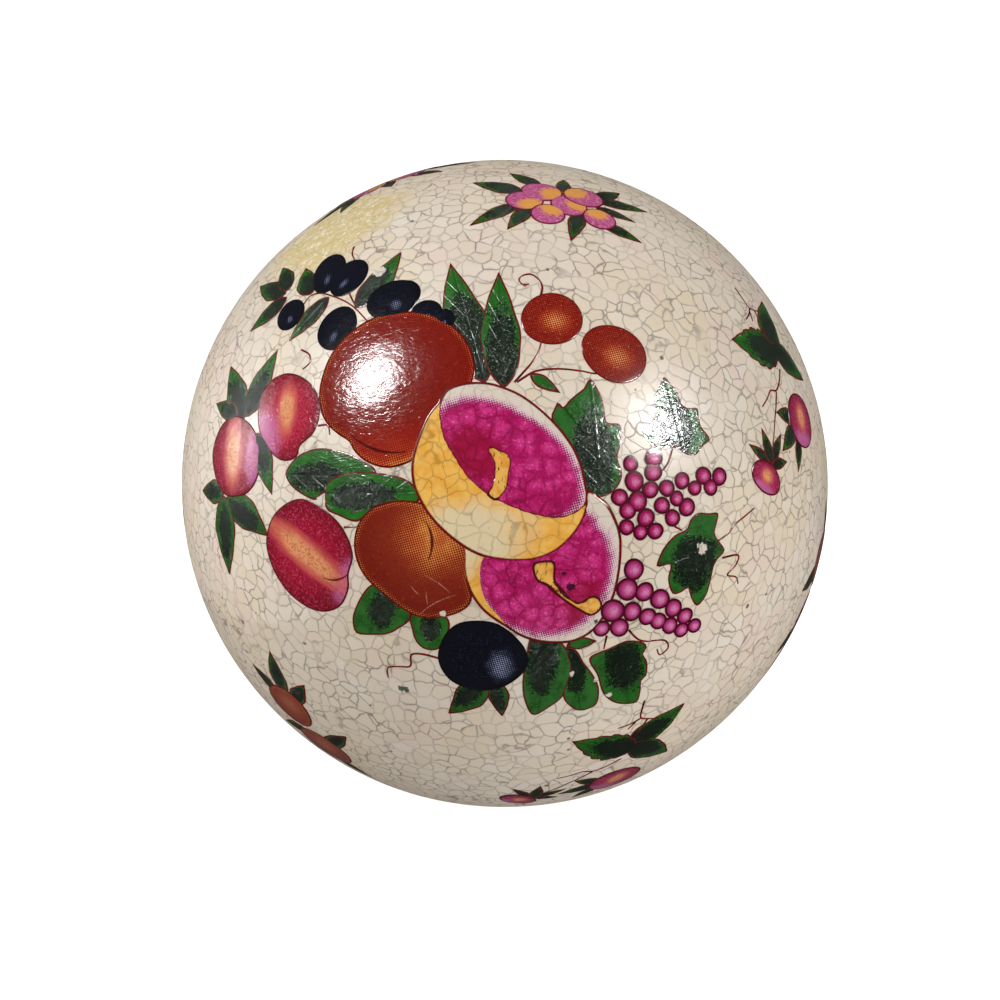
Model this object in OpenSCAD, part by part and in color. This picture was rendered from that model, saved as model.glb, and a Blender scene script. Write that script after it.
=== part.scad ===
// Decorated ceramic ball, croquet size
// A hollow ball of fired clay: two pressed half shells joined with slip at the
// equator, a crackle glaze over both, and fruit transfers fired on the glaze.
// A small vent in the foot lets the air out of the kiln. Each colour of each
// transfer is a thin film of its own, and where two colours meet the one
// below is knocked out.
// Origin: the centre of the ball, which the sprays and the shells share.
// X points to the right of the front spray, Y to the back and Z upwards.
// The spray's axis is tipped up from the horizon, so its middle sits a
// little above the equator. Flat drawings are in sheet millimetres, measured
// along the glaze from the axis, x to the right and y upwards.

/* [Ball] */
// Diameter over the glaze
ball_d = 92; // [70:0.5:120]
// Thickness of the clay wall
wall = 5; // [3:0.5:9]
// Thickness of the glaze
glaze_t = 0.4; // [0.2:0.05:0.8]

/* [Seam] */
// Thickness of the slip between the two halves
seam_t = 0.3; // [0.1:0.05:1]
// How far the slip bead stands out on the inside
bead_r = 0.9; // [0.4:0.1:2]

/* [Vent] */
// Diameter of the vent in the foot
vent_d = 4; // [2:0.25:8]

/* [Transfers] */
// Thickness of a fired colour film
film_t = 0.1; // [0.05:0.01:0.2]
// How far the axis of the sprays is tipped up
spray_tip = 15; // [0:1:25]
// Size of the sprays and sprigs against the drawing
print_scale = 1; // [0.8:0.01:1.05]
// Width of a tendril line
line_w = 0.45; // [0.3:0.05:0.8]

/* [Hidden] */
radius = ball_d / 2;
clay_r = radius - glaze_t;
inner_r = clay_r - wall;
reach = radius + 5;
round_fn = 96;
// How a drawing is turned and shifted on its sheet before it is laid down
$turn = 0;
$shift = [0, 0];

// Colours of the clay, the glaze and the inks
clay = [0.80, 0.72, 0.62];
cream = [0.90, 0.85, 0.76];
leaf_green = [0.14, 0.36, 0.10];
peach_red = [0.60, 0.12, 0.06];
melon_gold = [0.95, 0.70, 0.32];
melon_pink = [0.76, 0.12, 0.42];
stalk_gold = [0.96, 0.72, 0.36];
plum_red = [0.62, 0.08, 0.22];
plum_blue = [0.05, 0.06, 0.14];
cherry_red = [0.66, 0.16, 0.08];
grape_pink = [0.70, 0.16, 0.40];
line_red = [0.36, 0.06, 0.04];

// ---- outlines ----

// A sheet point laid on the ball and seen along the drawing's axis
function drop(p) =
  let (q = p * print_scale, r = norm(q))
  r < 0.001 ? q : q * (radius * sin(r / radius * 180 / PI) / r);
function set_down(p) =
  [p[0] * cos($turn) - p[1] * sin($turn), p[0] * sin($turn) + p[1] * cos($turn)] + $shift;
function dropped(pts) = [for (p = pts) drop(set_down(p))];

// A closed curve through hand-set points, k steps to a span
function curve_at(a, b, c, d, t) =
  0.5 * (2 * b + (c - a) * t + (2 * a - 5 * b + 4 * c - d) * t * t
  + (3 * b - a - 3 * c + d) * t * t * t);
function looped(P, k = 2) =
  let (n = len(P))
  [for (i = [0:n - 1]) for (j = [0:k - 1])
    curve_at(P[(i + n - 1) % n], P[i], P[(i + 1) % n], P[(i + 2) % n], j / k)];

// An oval about c, half sizes a and b, turned by tilt
function oval(c, a, b, tilt = 0, n = 20) =
  [for (i = [0:n - 1])
    let (t = 360 * i / n, x = a * cos(t), y = b * sin(t))
    [c[0] + x * cos(tilt) - y * sin(tilt), c[1] + x * sin(tilt) + y * cos(tilt)]];

// A pointed leaf from its base b to its tip e, w wide, bent sideways by bow
function leaf_half(s) = sin(180 * pow(s, 0.72));
function leaf(b, e, w, bow = 0, n = 7) =
  let (d = e - b, u = d / norm(d), v = [-u[1], u[0]])
  concat(
    [for (i = [0:n]) let (s = i / n)
      b + d * s + v * (w / 2 * leaf_half(s) + 4 * bow * s * (1 - s))],
    [for (i = [n - 1:-1:1]) let (s = i / n)
      b + d * s + v * (-w / 2 * leaf_half(s) + 4 * bow * s * (1 - s))]);

// A leaf with saw teeth, count to a side
function toothed(b, e, w, count = 4, depth = 0.16) =
  let (d = e - b, u = d / norm(d), v = [-u[1], u[0]], n = 2 * count)
  concat(
    [b],
    [for (i = [1:n - 1]) let (s = i / n)
      b + d * (s - (i % 2 == 1 ? 0.03 : 0))
      + v * w / 2 * leaf_half(s) * (i % 2 == 1 ? 1 + depth : 1 - depth / 2)],
    [e],
    [for (i = [n - 1:-1:1]) let (s = i / n)
      b + d * (s - (i % 2 == 1 ? 0.03 : 0))
      - v * w / 2 * leaf_half(s) * (i % 2 == 1 ? 1 + depth : 1 - depth / 2)]);

// A line of width w along a path
function turned(p) = let (q = p / max(norm(p), 0.001)) [-q[1], q[0]];
function along(P, i) = let (n = len(P))
  P[min(i + 1, n - 1)] - P[max(i - 1, 0)];
function ribbon(P, w) =
  let (n = len(P))
  concat(
    [for (i = [0:n - 1]) P[i] + turned(along(P, i)) * w / 2],
    [for (i = [n - 1:-1:0]) P[i] - turned(along(P, i)) * w / 2]);

module spot(pts) { polygon(dropped(pts)); }
module stroke(P) { polygon(dropped(ribbon(P, line_w))); }

// ---- placing ----

// The axis of the front spray, or of the back one
module facing(side) {
  rotate([0, 0, side == "back" ? 180 : 0])
    rotate([90 - spray_tip, 0, 0]) children();
}

// A sprig's own axis, away degrees from the spray's, in the clock direction
module sprig_at(clock, away) {
  rotate([0, 0, clock]) rotate([0, away, 0]) rotate([0, 0, -clock]) children();
}

// A flat drawing made a film on the glaze
module film() {
  intersection() {
    linear_extrude(height = reach) children();
    difference() {
      sphere(r = radius + film_t, $fn = round_fn);
      sphere(r = radius, $fn = round_fn);
    }
  }
}

// ---- the body ----

module half_shell() {
  difference() {
    intersection() {
      sphere(r = clay_r, $fn = round_fn);
      translate([-reach, -reach, seam_t / 2]) cube([2 * reach, 2 * reach, reach]);
    }
    sphere(r = inner_r, $fn = round_fn);
  }
}

module upper_half_shell() {
  color(clay) half_shell();
}

module lower_half_shell() {
  color(clay) difference() {
    mirror([0, 0, 1]) half_shell();
    translate([0, 0, -reach]) cylinder(h = reach, d = vent_d, $fn = 48);
  }
}

module luting_seam() {
  color(clay) rotate_extrude($fn = round_fn) {
    difference() {
      intersection() {
        circle(r = clay_r, $fn = round_fn);
        translate([0, -seam_t / 2]) square([reach, seam_t]);
      }
      circle(r = inner_r, $fn = round_fn);
    }
    intersection() {
      translate([inner_r, 0]) circle(r = bead_r, $fn = 32);
      circle(r = inner_r, $fn = round_fn);
    }
  }
}

module glaze_coat() {
  color(cream) difference() {
    sphere(r = radius, $fn = round_fn);
    sphere(r = clay_r, $fn = round_fn);
    translate([0, 0, -reach]) cylinder(h = reach, d = vent_d, $fn = 48);
  }
}

// ---- the drawing of the big spray, upper layers first ----

upper_stalk = [[-2.4, 4.2], [-1.5, 4.9], [-0.5, 4.3], [0.5, 4], [1, 2.8], [0.7, 1.2],
  [0.5, -0.5], [-0.5, -1.9], [-1.2, -2.2], [-2.3, -1.3], [-1.6, 0], [-1.4, 2], [-1.6, 3.2]];
lower_stalk = [[3.8, -10.1], [3.7, -11.5], [4.3, -12.7], [5.5, -13.2], [7, -14.7],
  [9, -16.2], [10.3, -17], [11.5, -17.6], [12.7, -16.9], [13, -15.9], [12.3, -14.9],
  [11.2, -14.8], [9.9, -15.6], [8.5, -14.9], [7.3, -13.7], [6.6, -12.4], [6.6, -11], [6.3, -9.9]];
upper_cut = [[-8.5, 10], [-7.6, 12], [-6, 12.8], [-4, 13.1], [-2, 13], [0, 12.4], [2, 11.5],
  [4, 10.1], [6, 8.3], [7.6, 6.5], [9, 4.4], [9.9, 2.3], [10.4, 0.2], [10.7, -1.6], [10.3, -3],
  [8.6, -4.1], [6.5, -4.5], [4, -4.1], [2, -3.5], [-1, -2.2], [-3, -0.9], [-5, 1], [-6.8, 3.8],
  [-7.9, 5.8], [-8.4, 8]];
upper_melon = [[-8.6, 10.6], [-7.6, 12.05], [-6, 12.85], [-4, 13.15], [-2, 13.05], [0, 12.45],
  [2, 11.55], [4, 10.15], [6, 8.35], [7.65, 6.55], [9.05, 4.45], [9.95, 2.3], [10.45, 0.2],
  [10.8, -1.6], [10.7, -3.2], [10.1, -4.9], [8.9, -6.7], [7, -8.5], [5, -9.5], [3, -9.95],
  [0, -9.9], [-3, -9.3], [-5.5, -8], [-8, -6], [-9.8, -4], [-11, -2], [-11.8, 0], [-12, 2.5],
  [-11.4, 5.2], [-10.1, 8.6]];
lower_cut = [[-2.7, -9], [-3.4, -11], [-3.4, -13], [-2.8, -15], [-1.5, -17], [0.5, -19],
  [2.5, -20.3], [5, -21.1], [8, -21.3], [10, -20.9], [12, -19.6], [13.4, -17.6], [14.5, -15],
  [15.1, -12], [15.3, -9], [15.1, -6.5], [14.3, -4.4], [13.2, -2.6], [12, -1.7], [10.6, -1],
  [6, -4], [0, -7]];
lower_melon = [[-4.9, -7.5], [-5.3, -9.5], [-5.3, -11.3], [-4.9, -13], [-4, -15], [-2.4, -17],
  [0.5, -19.1], [2.5, -20.4], [5, -21.2], [8, -21.4], [10, -21], [12, -19.7], [13.5, -17.6],
  [14.6, -15], [15.2, -12], [15.4, -9], [15.2, -6.5], [14.4, -4.3], [13.3, -2.5], [12, -1.6],
  [10.6, -0.9], [6, -4], [0, -6]];
big_peach = [[-25.6, 13.5], [-25.2, 10], [-23.9, 7.9], [-22.2, 6.5], [-20.7, 5.6], [-19.9, 4.3],
  [-18.4, 3], [-16.4, 2.2], [-14.4, 2.1], [-12, 2.9], [-9, 5], [-7, 9], [-4.6, 12],
  [-3.8, 15], [-4.7, 18.3], [-7, 21.2], [-10.3, 23.1], [-14.2, 23.7], [-18, 23.2],
  [-21.5, 21.2], [-24.3, 18]];
small_peach = [[-20, -8], [-19.3, -5.3], [-17.5, -3.3], [-15, -2.3], [-12, -2.2], [-9, -3],
  [-5, -5], [-3, -9], [-4.6, -12], [-4.2, -15], [-5.4, -16.6], [-8, -17.6], [-11, -17.8],
  [-13.4, -16.8], [-16, -14.8], [-18.3, -12.8], [-19.6, -10.6]];
plum_1 = [[-36.5, 10.2], [-36.2, 13], [-34.5, 15.2], [-31.5, 16], [-28.3, 14.9], [-26, 12.6],
  [-25.3, 9.8], [-26.1, 7], [-28.3, 5.2], [-28.6, 3.9], [-30, 3.2], [-31.9, 3.4], [-34, 5], [-35.8, 7.4]];
plum_2 = [[-47.1, 4.5], [-46, 8], [-43.8, 10], [-41, 10.4], [-38, 8.9], [-36, 6.4], [-35.4, 3.4],
  [-36.1, 0.6], [-38, -1.4], [-40.5, -2], [-43.3, -1.8], [-45.6, 0.2]];
plum_3 = [[-34.6, -8.6], [-33.3, -5], [-30.6, -2.8], [-27.6, -2.1], [-24.4, -3.4], [-21.6, -5.9],
  [-20.2, -9.4], [-21, -12.2], [-21.1, -14.2], [-22.5, -16.8], [-25.2, -18], [-28.2, -17.6],
  [-31.4, -15.6], [-33.7, -12.4]];
blue_plum = [[-9, -23.4], [-8.2, -20.6], [-6.4, -18.6], [-3.8, -18], [-1, -18.4], [1.4, -20.2],
  [3, -22.6], [3, -25], [1.4, -27], [-1, -28.4], [-4, -28.6], [-6.8, -27.6], [-8.4, -25.8]];
damsons = [[-27, 32.4, 3, 3.8, -3], [-23.2, 30.7, 2.8, 3.6, -38], [-32.8, 25.9, 2.7, 2.7, 0],
  [-23.8, 22.1, 3, 3.6, -21], [-15.7, 25.8, 3.9, 3.1, 25], [-13.9, 26.5, 2.3, 2.3, 0],
  [-10.6, 23.3, 2.2, 2, 0], [-8.1, 22.2, 1.5, 1.5, 0]];
cherries = [[6.4, 22.2, 4.2, 3.9, 0], [14.8, 17.5, 4.6, 4.1, -20]];
upper_grapes = [[16.5, 2.6, 1.1], [19.8, 3.4, 1.3], [19.7, 1.5, 1.3], [17, 0.3, 1.4],
  [19.3, -0.8, 1.2], [21.7, -0.6, 1.2], [24, 0.4, 1.2], [27.4, 1.1, 1.3], [30.1, 1, 1.3],
  [26, -0.6, 1.1], [28.6, -0.5, 1.2], [15, -1.8, 1.2], [17.5, -2.3, 1.4], [23.2, -2, 1.1],
  [16.1, -3.5, 1.2], [21, -2.9, 1.2], [24.8, -3.2, 1.3], [18.7, -4.5, 1.3], [22.6, -4.6, 1.2],
  [16, -5.7, 1.1], [18, -6.4, 1.1], [20.1, -6.3, 1.2]];
lower_grapes = [[17.2, -11.4, 1.5], [16.4, -14.1, 1.6], [18.9, -14.6, 1.4], [21.3, -15.8, 1.5],
  [14.5, -17, 1.7], [17.3, -17.3, 1.4], [23.5, -17.3, 1.4], [19.6, -18.2, 1.3], [21.3, -19, 1.3],
  [25.5, -18.7, 1.3], [13.1, -19.5, 1.2], [15.6, -19.5, 1.4], [23.2, -19.9, 1.3],
  [25.2, -20.8, 1.2], [27.3, -20.4, 1.2]];
// base, tip, width and bow of each plain leaf
spray_leaves = [
  [[-2.5, 13], [-7.7, 31.4], 6.4, 0.4], [[0, 12.3], [-0.8, 29.6], 5.4, 0.2],
  [[-21.3, 25], [-15.2, 34.3], 4.4, -0.5], [[-29.5, 28.8], [-32.2, 35], 4, 0.3],
  [[-35, 30.3], [-43.7, 35.2], 4, 0.2], [[-34.5, 31], [-38.5, 37.5], 3.6, 0],
  [[-34.5, 29.6], [-41.7, 24.8], 3.5, 0], [[-26, 27.7], [-32.2, 21], 3.2, 0],
  [[-39.5, 9.5], [-45, 19.4], 5, 0], [[-39, 10], [-34, 20.2], 4.4, 0],
  [[-41, 10.4], [-47.5, 13.2], 3.2, 0], [[-36.4, 7.5], [-33.1, -1.7], 3.8, 0],
  [[-43.2, -2.2], [-34, -7.7], 5.2, 0.4], [[-43.8, -1.8], [-43.9, -14.8], 5.2, 0],
  [[-43.6, -1.4], [-50.5, -1.2], 4, 0], [[-2.6, -26.5], [-8.1, -33.1], 4.6, 0.4],
  [[-1.4, -27], [-0.3, -33.4], 3, 0.2], [[8.4, -21.6], [12.6, -21.3], 1.9, 0],
  [[3.3, 14.2], [7.3, 11.7], 1.8, 0]];
vine_1 = [[11.3, 13.8], [10.4, 12.5], [9.3, 11.6], [8.2, 10.6], [7.6, 9.8], [6.9, 10.6],
  [6.4, 9.6], [6, 8.6], [6.4, 7.4], [8, 4], [9, 1], [10.6, -1.2], [12.4, -1.8], [14.4, -0.8],
  [15.4, 1.2], [14.7, 3.4], [15.3, 5.4], [15.2, 7.8], [13.4, 7.9], [13.1, 9.4], [12.7, 11.4]];
vine_2 = [[21.8, 14.6], [23, 13.4], [24, 12], [24.2, 11], [25.2, 10.4], [26.8, 10.5], [26.9, 9.2],
  [27.3, 7.8], [28.7, 6.2], [27.4, 5.2], [26.4, 4], [24.8, 3.9], [23.2, 4.8], [21.4, 4.6],
  [19.4, 5.2], [18.2, 7], [19.6, 8.2], [20.2, 9.6], [20, 11.4], [20.8, 12.8]];
vine_3 = [[30, -4.1], [28.4, -4.1], [26.6, -4], [25.4, -4.9], [24.9, -6.2], [23.2, -6.9],
  [21.6, -8.4], [20.7, -10.2], [20.6, -11.3], [22.6, -11], [22.3, -13], [23.2, -15.2],
  [24.8, -15], [25.6, -14.5], [26.2, -16], [27.4, -17.4], [28.8, -16], [29.4, -13.6],
  [29.9, -11.2], [31.5, -9.6], [30.6, -8.4], [29.5, -7], [29.8, -5.6]];
vine_4 = [[11.9, -23.5], [14.3, -22.6], [16.7, -21.6], [19.2, -22], [20, -22.9], [19.5, -24],
  [20.3, -25.2], [20.5, -27.6], [19.8, -28.4], [19.9, -30], [19.6, -32.4], [16.7, -32.2],
  [14.9, -31], [13.8, -29.4], [13, -26.8], [11.7, -24.6]];
// broad rounded leaves: two under the big peach, two under the small one, two at the foot
broad_1 = [[-30.7, 1.3], [-30, 2.6], [-28.3, 4], [-25.3, 4.8], [-22.2, 4.4], [-19.4, 3.4],
  [-16.7, 1.5], [-21, 0], [-24.6, -1.4], [-25.6, -2.3], [-27.2, -1.8], [-28.8, -1], [-30, 0]];
broad_2 = [[-24, 0], [-22.1, 1.1], [-20.2, 1.5], [-17.6, 1.5], [-15, 1.2], [-12.8, 0.6],
  [-11.3, -0.6], [-11, -2.4], [-14, -3], [-18.3, -4.5], [-19.8, -5.1], [-22.4, -4.2],
  [-24, -3.5], [-24.2, -1.8]];
broad_3 = [[-17.6, -13.4], [-19, -14.7], [-20.2, -16.7], [-20.9, -18.6], [-20.6, -20.7],
  [-18.2, -20.8], [-15.7, -20.4], [-14.2, -19.5], [-12.4, -17.9], [-13, -15], [-15, -13]];
broad_4 = [[-12.6, -17.6], [-12.5, -19], [-12, -21.2], [-10.8, -22.4], [-9, -22.4], [-8.1, -21.2],
  [-7.3, -19.5], [-7.3, -18], [-8.6, -16.6], [-11, -16.4]];
broad_5 = [[3.6, -20.4], [6.4, -20.4], [8.2, -21.9], [9.1, -24], [9.2, -26.2], [8.7, -28.6],
  [8.1, -30.2], [6.5, -31.7], [4.2, -33.2], [3.1, -31.4], [2.5, -28.6], [2.6, -25.4], [3, -22.6]];
broad_6 = [[8.4, -21.6], [10, -22.8], [10.8, -24.4], [12, -26], [13.1, -28], [13.5, -29.8],
  [13.2, -32], [10.8, -32.8], [9, -31.4], [8.2, -29.8], [8.4, -28], [9, -25.8], [8.4, -23.4]];
spray_lines = [
  [[1.3, 13.1], [2.4, 14.4], [3.5, 15.7], [4.5, 17.4], [5, 19.6]],
  [[1.6, 13.1], [4, 14.6], [7, 15], [10, 14.8], [12, 14.5], [13.3, 14.9]],
  [[4.9, 25.6], [5.2, 27], [4.7, 28.3], [3.7, 29.1], [2.6, 28.9], [2, 28.2], [2.5, 27.4], [3.4, 27.5]],
  [[-29.5, 19.4], [-28, 18.5], [-27.7, 17.2], [-28.8, 16.3]],
  [[-23.5, 37], [-23.5, 35.5], [-22.8, 34]],
  [[-30.5, 27.3], [-29.6, 28.5], [-27.8, 28.7], [-25.2, 27.6], [-23.1, 26.4], [-21.3, 25], [-19.1, 22.6]],
  [[-22.7, 27.9], [-22, 26.6], [-21, 25]],
  [[-25.5, 7.9], [-24, 7.9], [-23.6, 6.6]],
  [[-8.6, -23.8], [-11, -23.2], [-12.7, -23.4], [-13, -25.2], [-14.8, -25.4], [-16.3, -25.8], [-16.4, -27.4]],
  [[30.2, -8], [32, -7], [33, -5.9], [35, -4.7], [36.8, -3.6]],
  [[31.1, -10.6], [34, -10.4], [33.8, -11.8], [32.3, -13.2], [34, -13.7], [34.6, -14.8]],
  [[17, -20], [19, -21.8], [22.5, -22.1], [23.4, -23.4], [22.2, -24.4], [21.6, -23.4]],
  [[13.9, -20.6], [13.6, -22.6]], [[22.6, 4.7], [21.9, 2.8], [21, 1.7]],
  [[22.9, -5.7], [24.2, -6.4]], [[-21.4, -5.8], [-19.6, -5.7]]];

module stalks_2d() { spot(looped(upper_stalk, 1)); spot(looped(lower_stalk, 1)); }
module upper_cut_2d() { spot(looped(upper_cut, 1)); }
module upper_melon_2d() { spot(looped(upper_melon, 1)); }
module lower_cut_2d() { spot(looped(lower_cut, 1)); }
module lower_melon_2d() { spot(looped(lower_melon, 1)); }
module melons_2d() { upper_melon_2d(); lower_melon_2d(); }
module peaches_2d() { spot(looped(big_peach, 2)); spot(looped(small_peach, 2)); }
module red_plums_2d() { spot(looped(plum_1, 2)); spot(looped(plum_2, 2)); spot(looped(plum_3, 2)); }
module blue_plums_2d() {
  spot(looped(blue_plum, 2));
  for (d = damsons) spot(oval([d[0], d[1]], d[2], d[3], d[4]));
}
module cherries_2d() { for (c = cherries) spot(oval([c[0], c[1]], c[2], c[3], c[4])); }
module grapes_2d() {
  for (g = concat(upper_grapes, lower_grapes)) spot(oval([g[0], g[1]], g[2], g[2], 0, 16));
}
module leaves_2d() {
  for (l = spray_leaves) spot(leaf(l[0], l[1], l[2], l[3]));
  for (v = [vine_1, vine_2, vine_3, vine_4]) spot(v);
  for (v = [broad_1, broad_2, broad_3, broad_4, broad_5, broad_6]) spot(looped(v, 1));
}
module lines_2d() { for (l = spray_lines) stroke(l); }

module spray_part(layer, side, tint) {
  color(tint) facing(side) film() {
    if (layer == "stalks") stalks_2d();
    if (layer == "flesh") difference() {
      union() { upper_cut_2d(); difference() { lower_cut_2d(); upper_melon_2d(); } }
      stalks_2d();
    }
    if (layer == "skin") {
      difference() { upper_melon_2d(); upper_cut_2d(); stalks_2d(); }
      difference() { lower_melon_2d(); lower_cut_2d(); upper_melon_2d(); stalks_2d(); }
    }
    if (layer == "peaches") difference() { peaches_2d(); melons_2d(); }
    if (layer == "red_plums") difference() { red_plums_2d(); peaches_2d(); }
    if (layer == "blue_plums") difference() { blue_plums_2d(); melons_2d(); peaches_2d(); }
    if (layer == "cherries") cherries_2d();
    if (layer == "grapes") difference() { grapes_2d(); melons_2d(); stalks_2d(); }
    if (layer == "leaves") difference() {
      leaves_2d(); melons_2d(); peaches_2d(); red_plums_2d(); blue_plums_2d();
      cherries_2d(); grapes_2d();
    }
    if (layer == "lines") difference() {
      lines_2d(); melons_2d(); peaches_2d(); red_plums_2d(); blue_plums_2d();
      cherries_2d(); grapes_2d(); leaves_2d();
    }
  }
}

// ---- the sprigs ----

crown_berries = [[-5.4, -0.1, 2.6], [-2.8, 2.5, 2.8], [0.5, -0.9, 2.6], [-2.6, -3.5, 2.4],
  [4.5, -3.1, 2.4], [2.9, 2.2, 2.8]];
crown_leaves = [[[-5.4, 2], [-12, 6.5], 3.4], [[-2.8, 4], [-6.5, 9.4], 2.6], [[0.2, 3], [0.9, 7.8], 2.2],
  [[4.6, 2.2], [9, 7.2], 2.5], [[4.6, 1.6], [12.6, 3.2], 2.7], [[4.2, -0.2], [10, -1.6], 2],
  [[4.5, -4], [10.4, -6.3], 2.4], [[2, -2], [0, -9.2], 2.5], [[-4.6, -1.6], [-8.4, -7.2], 2.5],
  [[-6, -1], [-13.4, -5.6], 2.6]];
hub = [4.2, 9];
twig_leaves = [[[3, 8.6], [7.9, 17.8], 5.4], [[3.4, 9.4], [13.2, 6.1], 4.6],
  [[5.4, -0.7], [0.8, -0.6], 2.3], [[6, -1.6], [1.7, -5.9], 2.8], [[6.6, -3], [6.4, -8.1], 2.1],
  [[-0.8, -8], [-3.1, -3.2], 2], [[-1.2, -8], [1.6, -3.4], 2], [[-1.6, -7.6], [-6, -5.7], 1.5],
  [[-0.9, -8], [3, -7.1], 1.7]];
twig_tooth = [[5, 8.4], [-6.1, 8.9], 6];
twig_plums = [[8.2, -0.6, 3.9, 3.9, 0], [-2, -9.8, 3.5, 2.1, -18]];
twig_lines = [[[0.3, 18.2], [0.8, 16.6], [1.5, 15.1], [2.7, 14.9], [4.6, 15]],
  [[1.6, 15], [0.6, 13.8], [-0.9, 12.7]], [[1.15, 14.2], [0.8, 12.7]], [[2.8, 14.8], [2.9, 12.4], [3, 10]],
  [[4.2, 6], [3.2, 4.2], [1.8, 2.6], [0.2, 2.3], [-1, 1], [-2.4, -0.3]],
  [[1.7, 2.4], [0.9, 0], [0.2, -2], [-0.8, -6]]];
left_fruit = [[-0.4, -1.5, 4], [1.6, -10.1, 4.2]];
left_leaves = [[[0, 1], [0, 9.2], 3.3], [[1.2, 0], [5.4, 5.2], 2.8], [[-1.6, 0.6], [-6, 4], 2.6],
  [[3, -8.6], [9, -4], 2.9], [[0, -6.6], [-5.9, -8.4], 2.6], [[1.6, -12.6], [5.4, -18], 2.6]];
edge_turn = 150;

module crown_berries_2d() { for (b = crown_berries) spot(oval([b[0], b[1]], b[2], b[2])); }
module crown_leaves_2d() { for (l = crown_leaves) spot(leaf(l[0], l[1], l[2])); }
module twig_plums_2d() { for (p = twig_plums) spot(oval([p[0], p[1]], p[2], p[3], p[4])); }
module twig_leaves_2d() {
  for (l = twig_leaves) spot(leaf(l[0], l[1], l[2]));
  spot(toothed(twig_tooth[0], twig_tooth[1], twig_tooth[2]));
}
module twig_lines_2d() { for (l = twig_lines) stroke(l); }
module left_fruit_2d() { for (f = left_fruit) spot(oval([f[0], f[1]], f[2], f[2])); }
module left_leaves_2d() { for (l = left_leaves) spot(leaf(l[0], l[1], l[2])); }

module crown_sprig(side, layer, tint) {
  color(tint) facing(side) sprig_at(side == "back" ? 67 : 78, side == "back" ? 70 : 57) film() {
    if (layer == "fruit") crown_berries_2d();
    if (layer == "leaves") difference() { crown_leaves_2d(); crown_berries_2d(); }
  }
}

module twig_sprig(side, place, layer, tint) {
  foot = place == "foot";
  $turn = foot ? -20 : 0;
  $shift = foot ? [-8.5, -7] : [0, 0];
  color(tint) facing(side) sprig_at(foot ? -62 : 16, foot ? 60 : 54) film() {
    if (layer == "fruit") twig_plums_2d();
    if (layer == "leaves") difference() { twig_leaves_2d(); twig_plums_2d(); }
    if (layer == "lines") difference() { twig_lines_2d(); twig_leaves_2d(); twig_plums_2d(); }
  }
}

module peach_sprig(side, place, layer, tint) {
  edge = place == "edge";
  $turn = edge ? edge_turn : 0;
  color(tint) facing(side) sprig_at(edge ? -26 : -135, edge ? 82 : 65) film() {
    if (layer == "fruit") left_fruit_2d();
    if (layer == "leaves") difference() { left_leaves_2d(); left_fruit_2d(); }
  }
}

// ---- the front spray and its sprigs ----

module front_spray_leaves() { spray_part("leaves", "front", leaf_green); }
module front_spray_peaches() { spray_part("peaches", "front", peach_red); }
module front_spray_melon_skins() { spray_part("skin", "front", melon_gold); }
module front_spray_melon_flesh() { spray_part("flesh", "front", melon_pink); }
module front_spray_seed_stalks() { spray_part("stalks", "front", stalk_gold); }
module front_spray_red_plums() { spray_part("red_plums", "front", plum_red); }
module front_spray_blue_plums() { spray_part("blue_plums", "front", plum_blue); }
module front_spray_cherries() { spray_part("cherries", "front", cherry_red); }
module front_spray_grapes() { spray_part("grapes", "front", grape_pink); }
module front_spray_tendrils() { spray_part("lines", "front", line_red); }
module front_crown_leaves() { crown_sprig("front", "leaves", leaf_green); }
module front_crown_berries() { crown_sprig("front", "fruit", grape_pink); }
module front_side_leaves() { twig_sprig("front", "side", "leaves", leaf_green); }
module front_side_plums() { twig_sprig("front", "side", "fruit", plum_red); }
module front_side_twigs() { twig_sprig("front", "side", "lines", line_red); }
module front_foot_leaves() { twig_sprig("front", "foot", "leaves", leaf_green); }
module front_foot_plums() { twig_sprig("front", "foot", "fruit", plum_red); }
module front_foot_twigs() { twig_sprig("front", "foot", "lines", line_red); }
module front_left_leaves() { peach_sprig("front", "left", "leaves", leaf_green); }
module front_left_peaches() { peach_sprig("front", "left", "fruit", cherry_red); }
module front_edge_leaves() { peach_sprig("front", "edge", "leaves", leaf_green); }
module front_edge_peaches() { peach_sprig("front", "edge", "fruit", cherry_red); }

// ---- the back spray and its sprigs ----

module back_spray_leaves() { spray_part("leaves", "back", leaf_green); }
module back_spray_peaches() { spray_part("peaches", "back", peach_red); }
module back_spray_melon_skins() { spray_part("skin", "back", melon_gold); }
module back_spray_melon_flesh() { spray_part("flesh", "back", melon_pink); }
module back_spray_seed_stalks() { spray_part("stalks", "back", stalk_gold); }
module back_spray_red_plums() { spray_part("red_plums", "back", plum_red); }
module back_spray_blue_plums() { spray_part("blue_plums", "back", plum_blue); }
module back_spray_cherries() { spray_part("cherries", "back", cherry_red); }
module back_spray_grapes() { spray_part("grapes", "back", grape_pink); }
module back_spray_tendrils() { spray_part("lines", "back", line_red); }
module back_crown_leaves() { crown_sprig("back", "leaves", leaf_green); }
module back_crown_berries() { crown_sprig("back", "fruit", grape_pink); }
module back_side_leaves() { twig_sprig("back", "side", "leaves", leaf_green); }
module back_side_plums() { twig_sprig("back", "side", "fruit", plum_red); }
module back_side_twigs() { twig_sprig("back", "side", "lines", line_red); }
module back_foot_leaves() { twig_sprig("back", "foot", "leaves", leaf_green); }
module back_foot_plums() { twig_sprig("back", "foot", "fruit", plum_red); }
module back_foot_twigs() { twig_sprig("back", "foot", "lines", line_red); }
module back_left_leaves() { peach_sprig("back", "left", "leaves", leaf_green); }
module back_left_peaches() { peach_sprig("back", "left", "fruit", cherry_red); }
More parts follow.
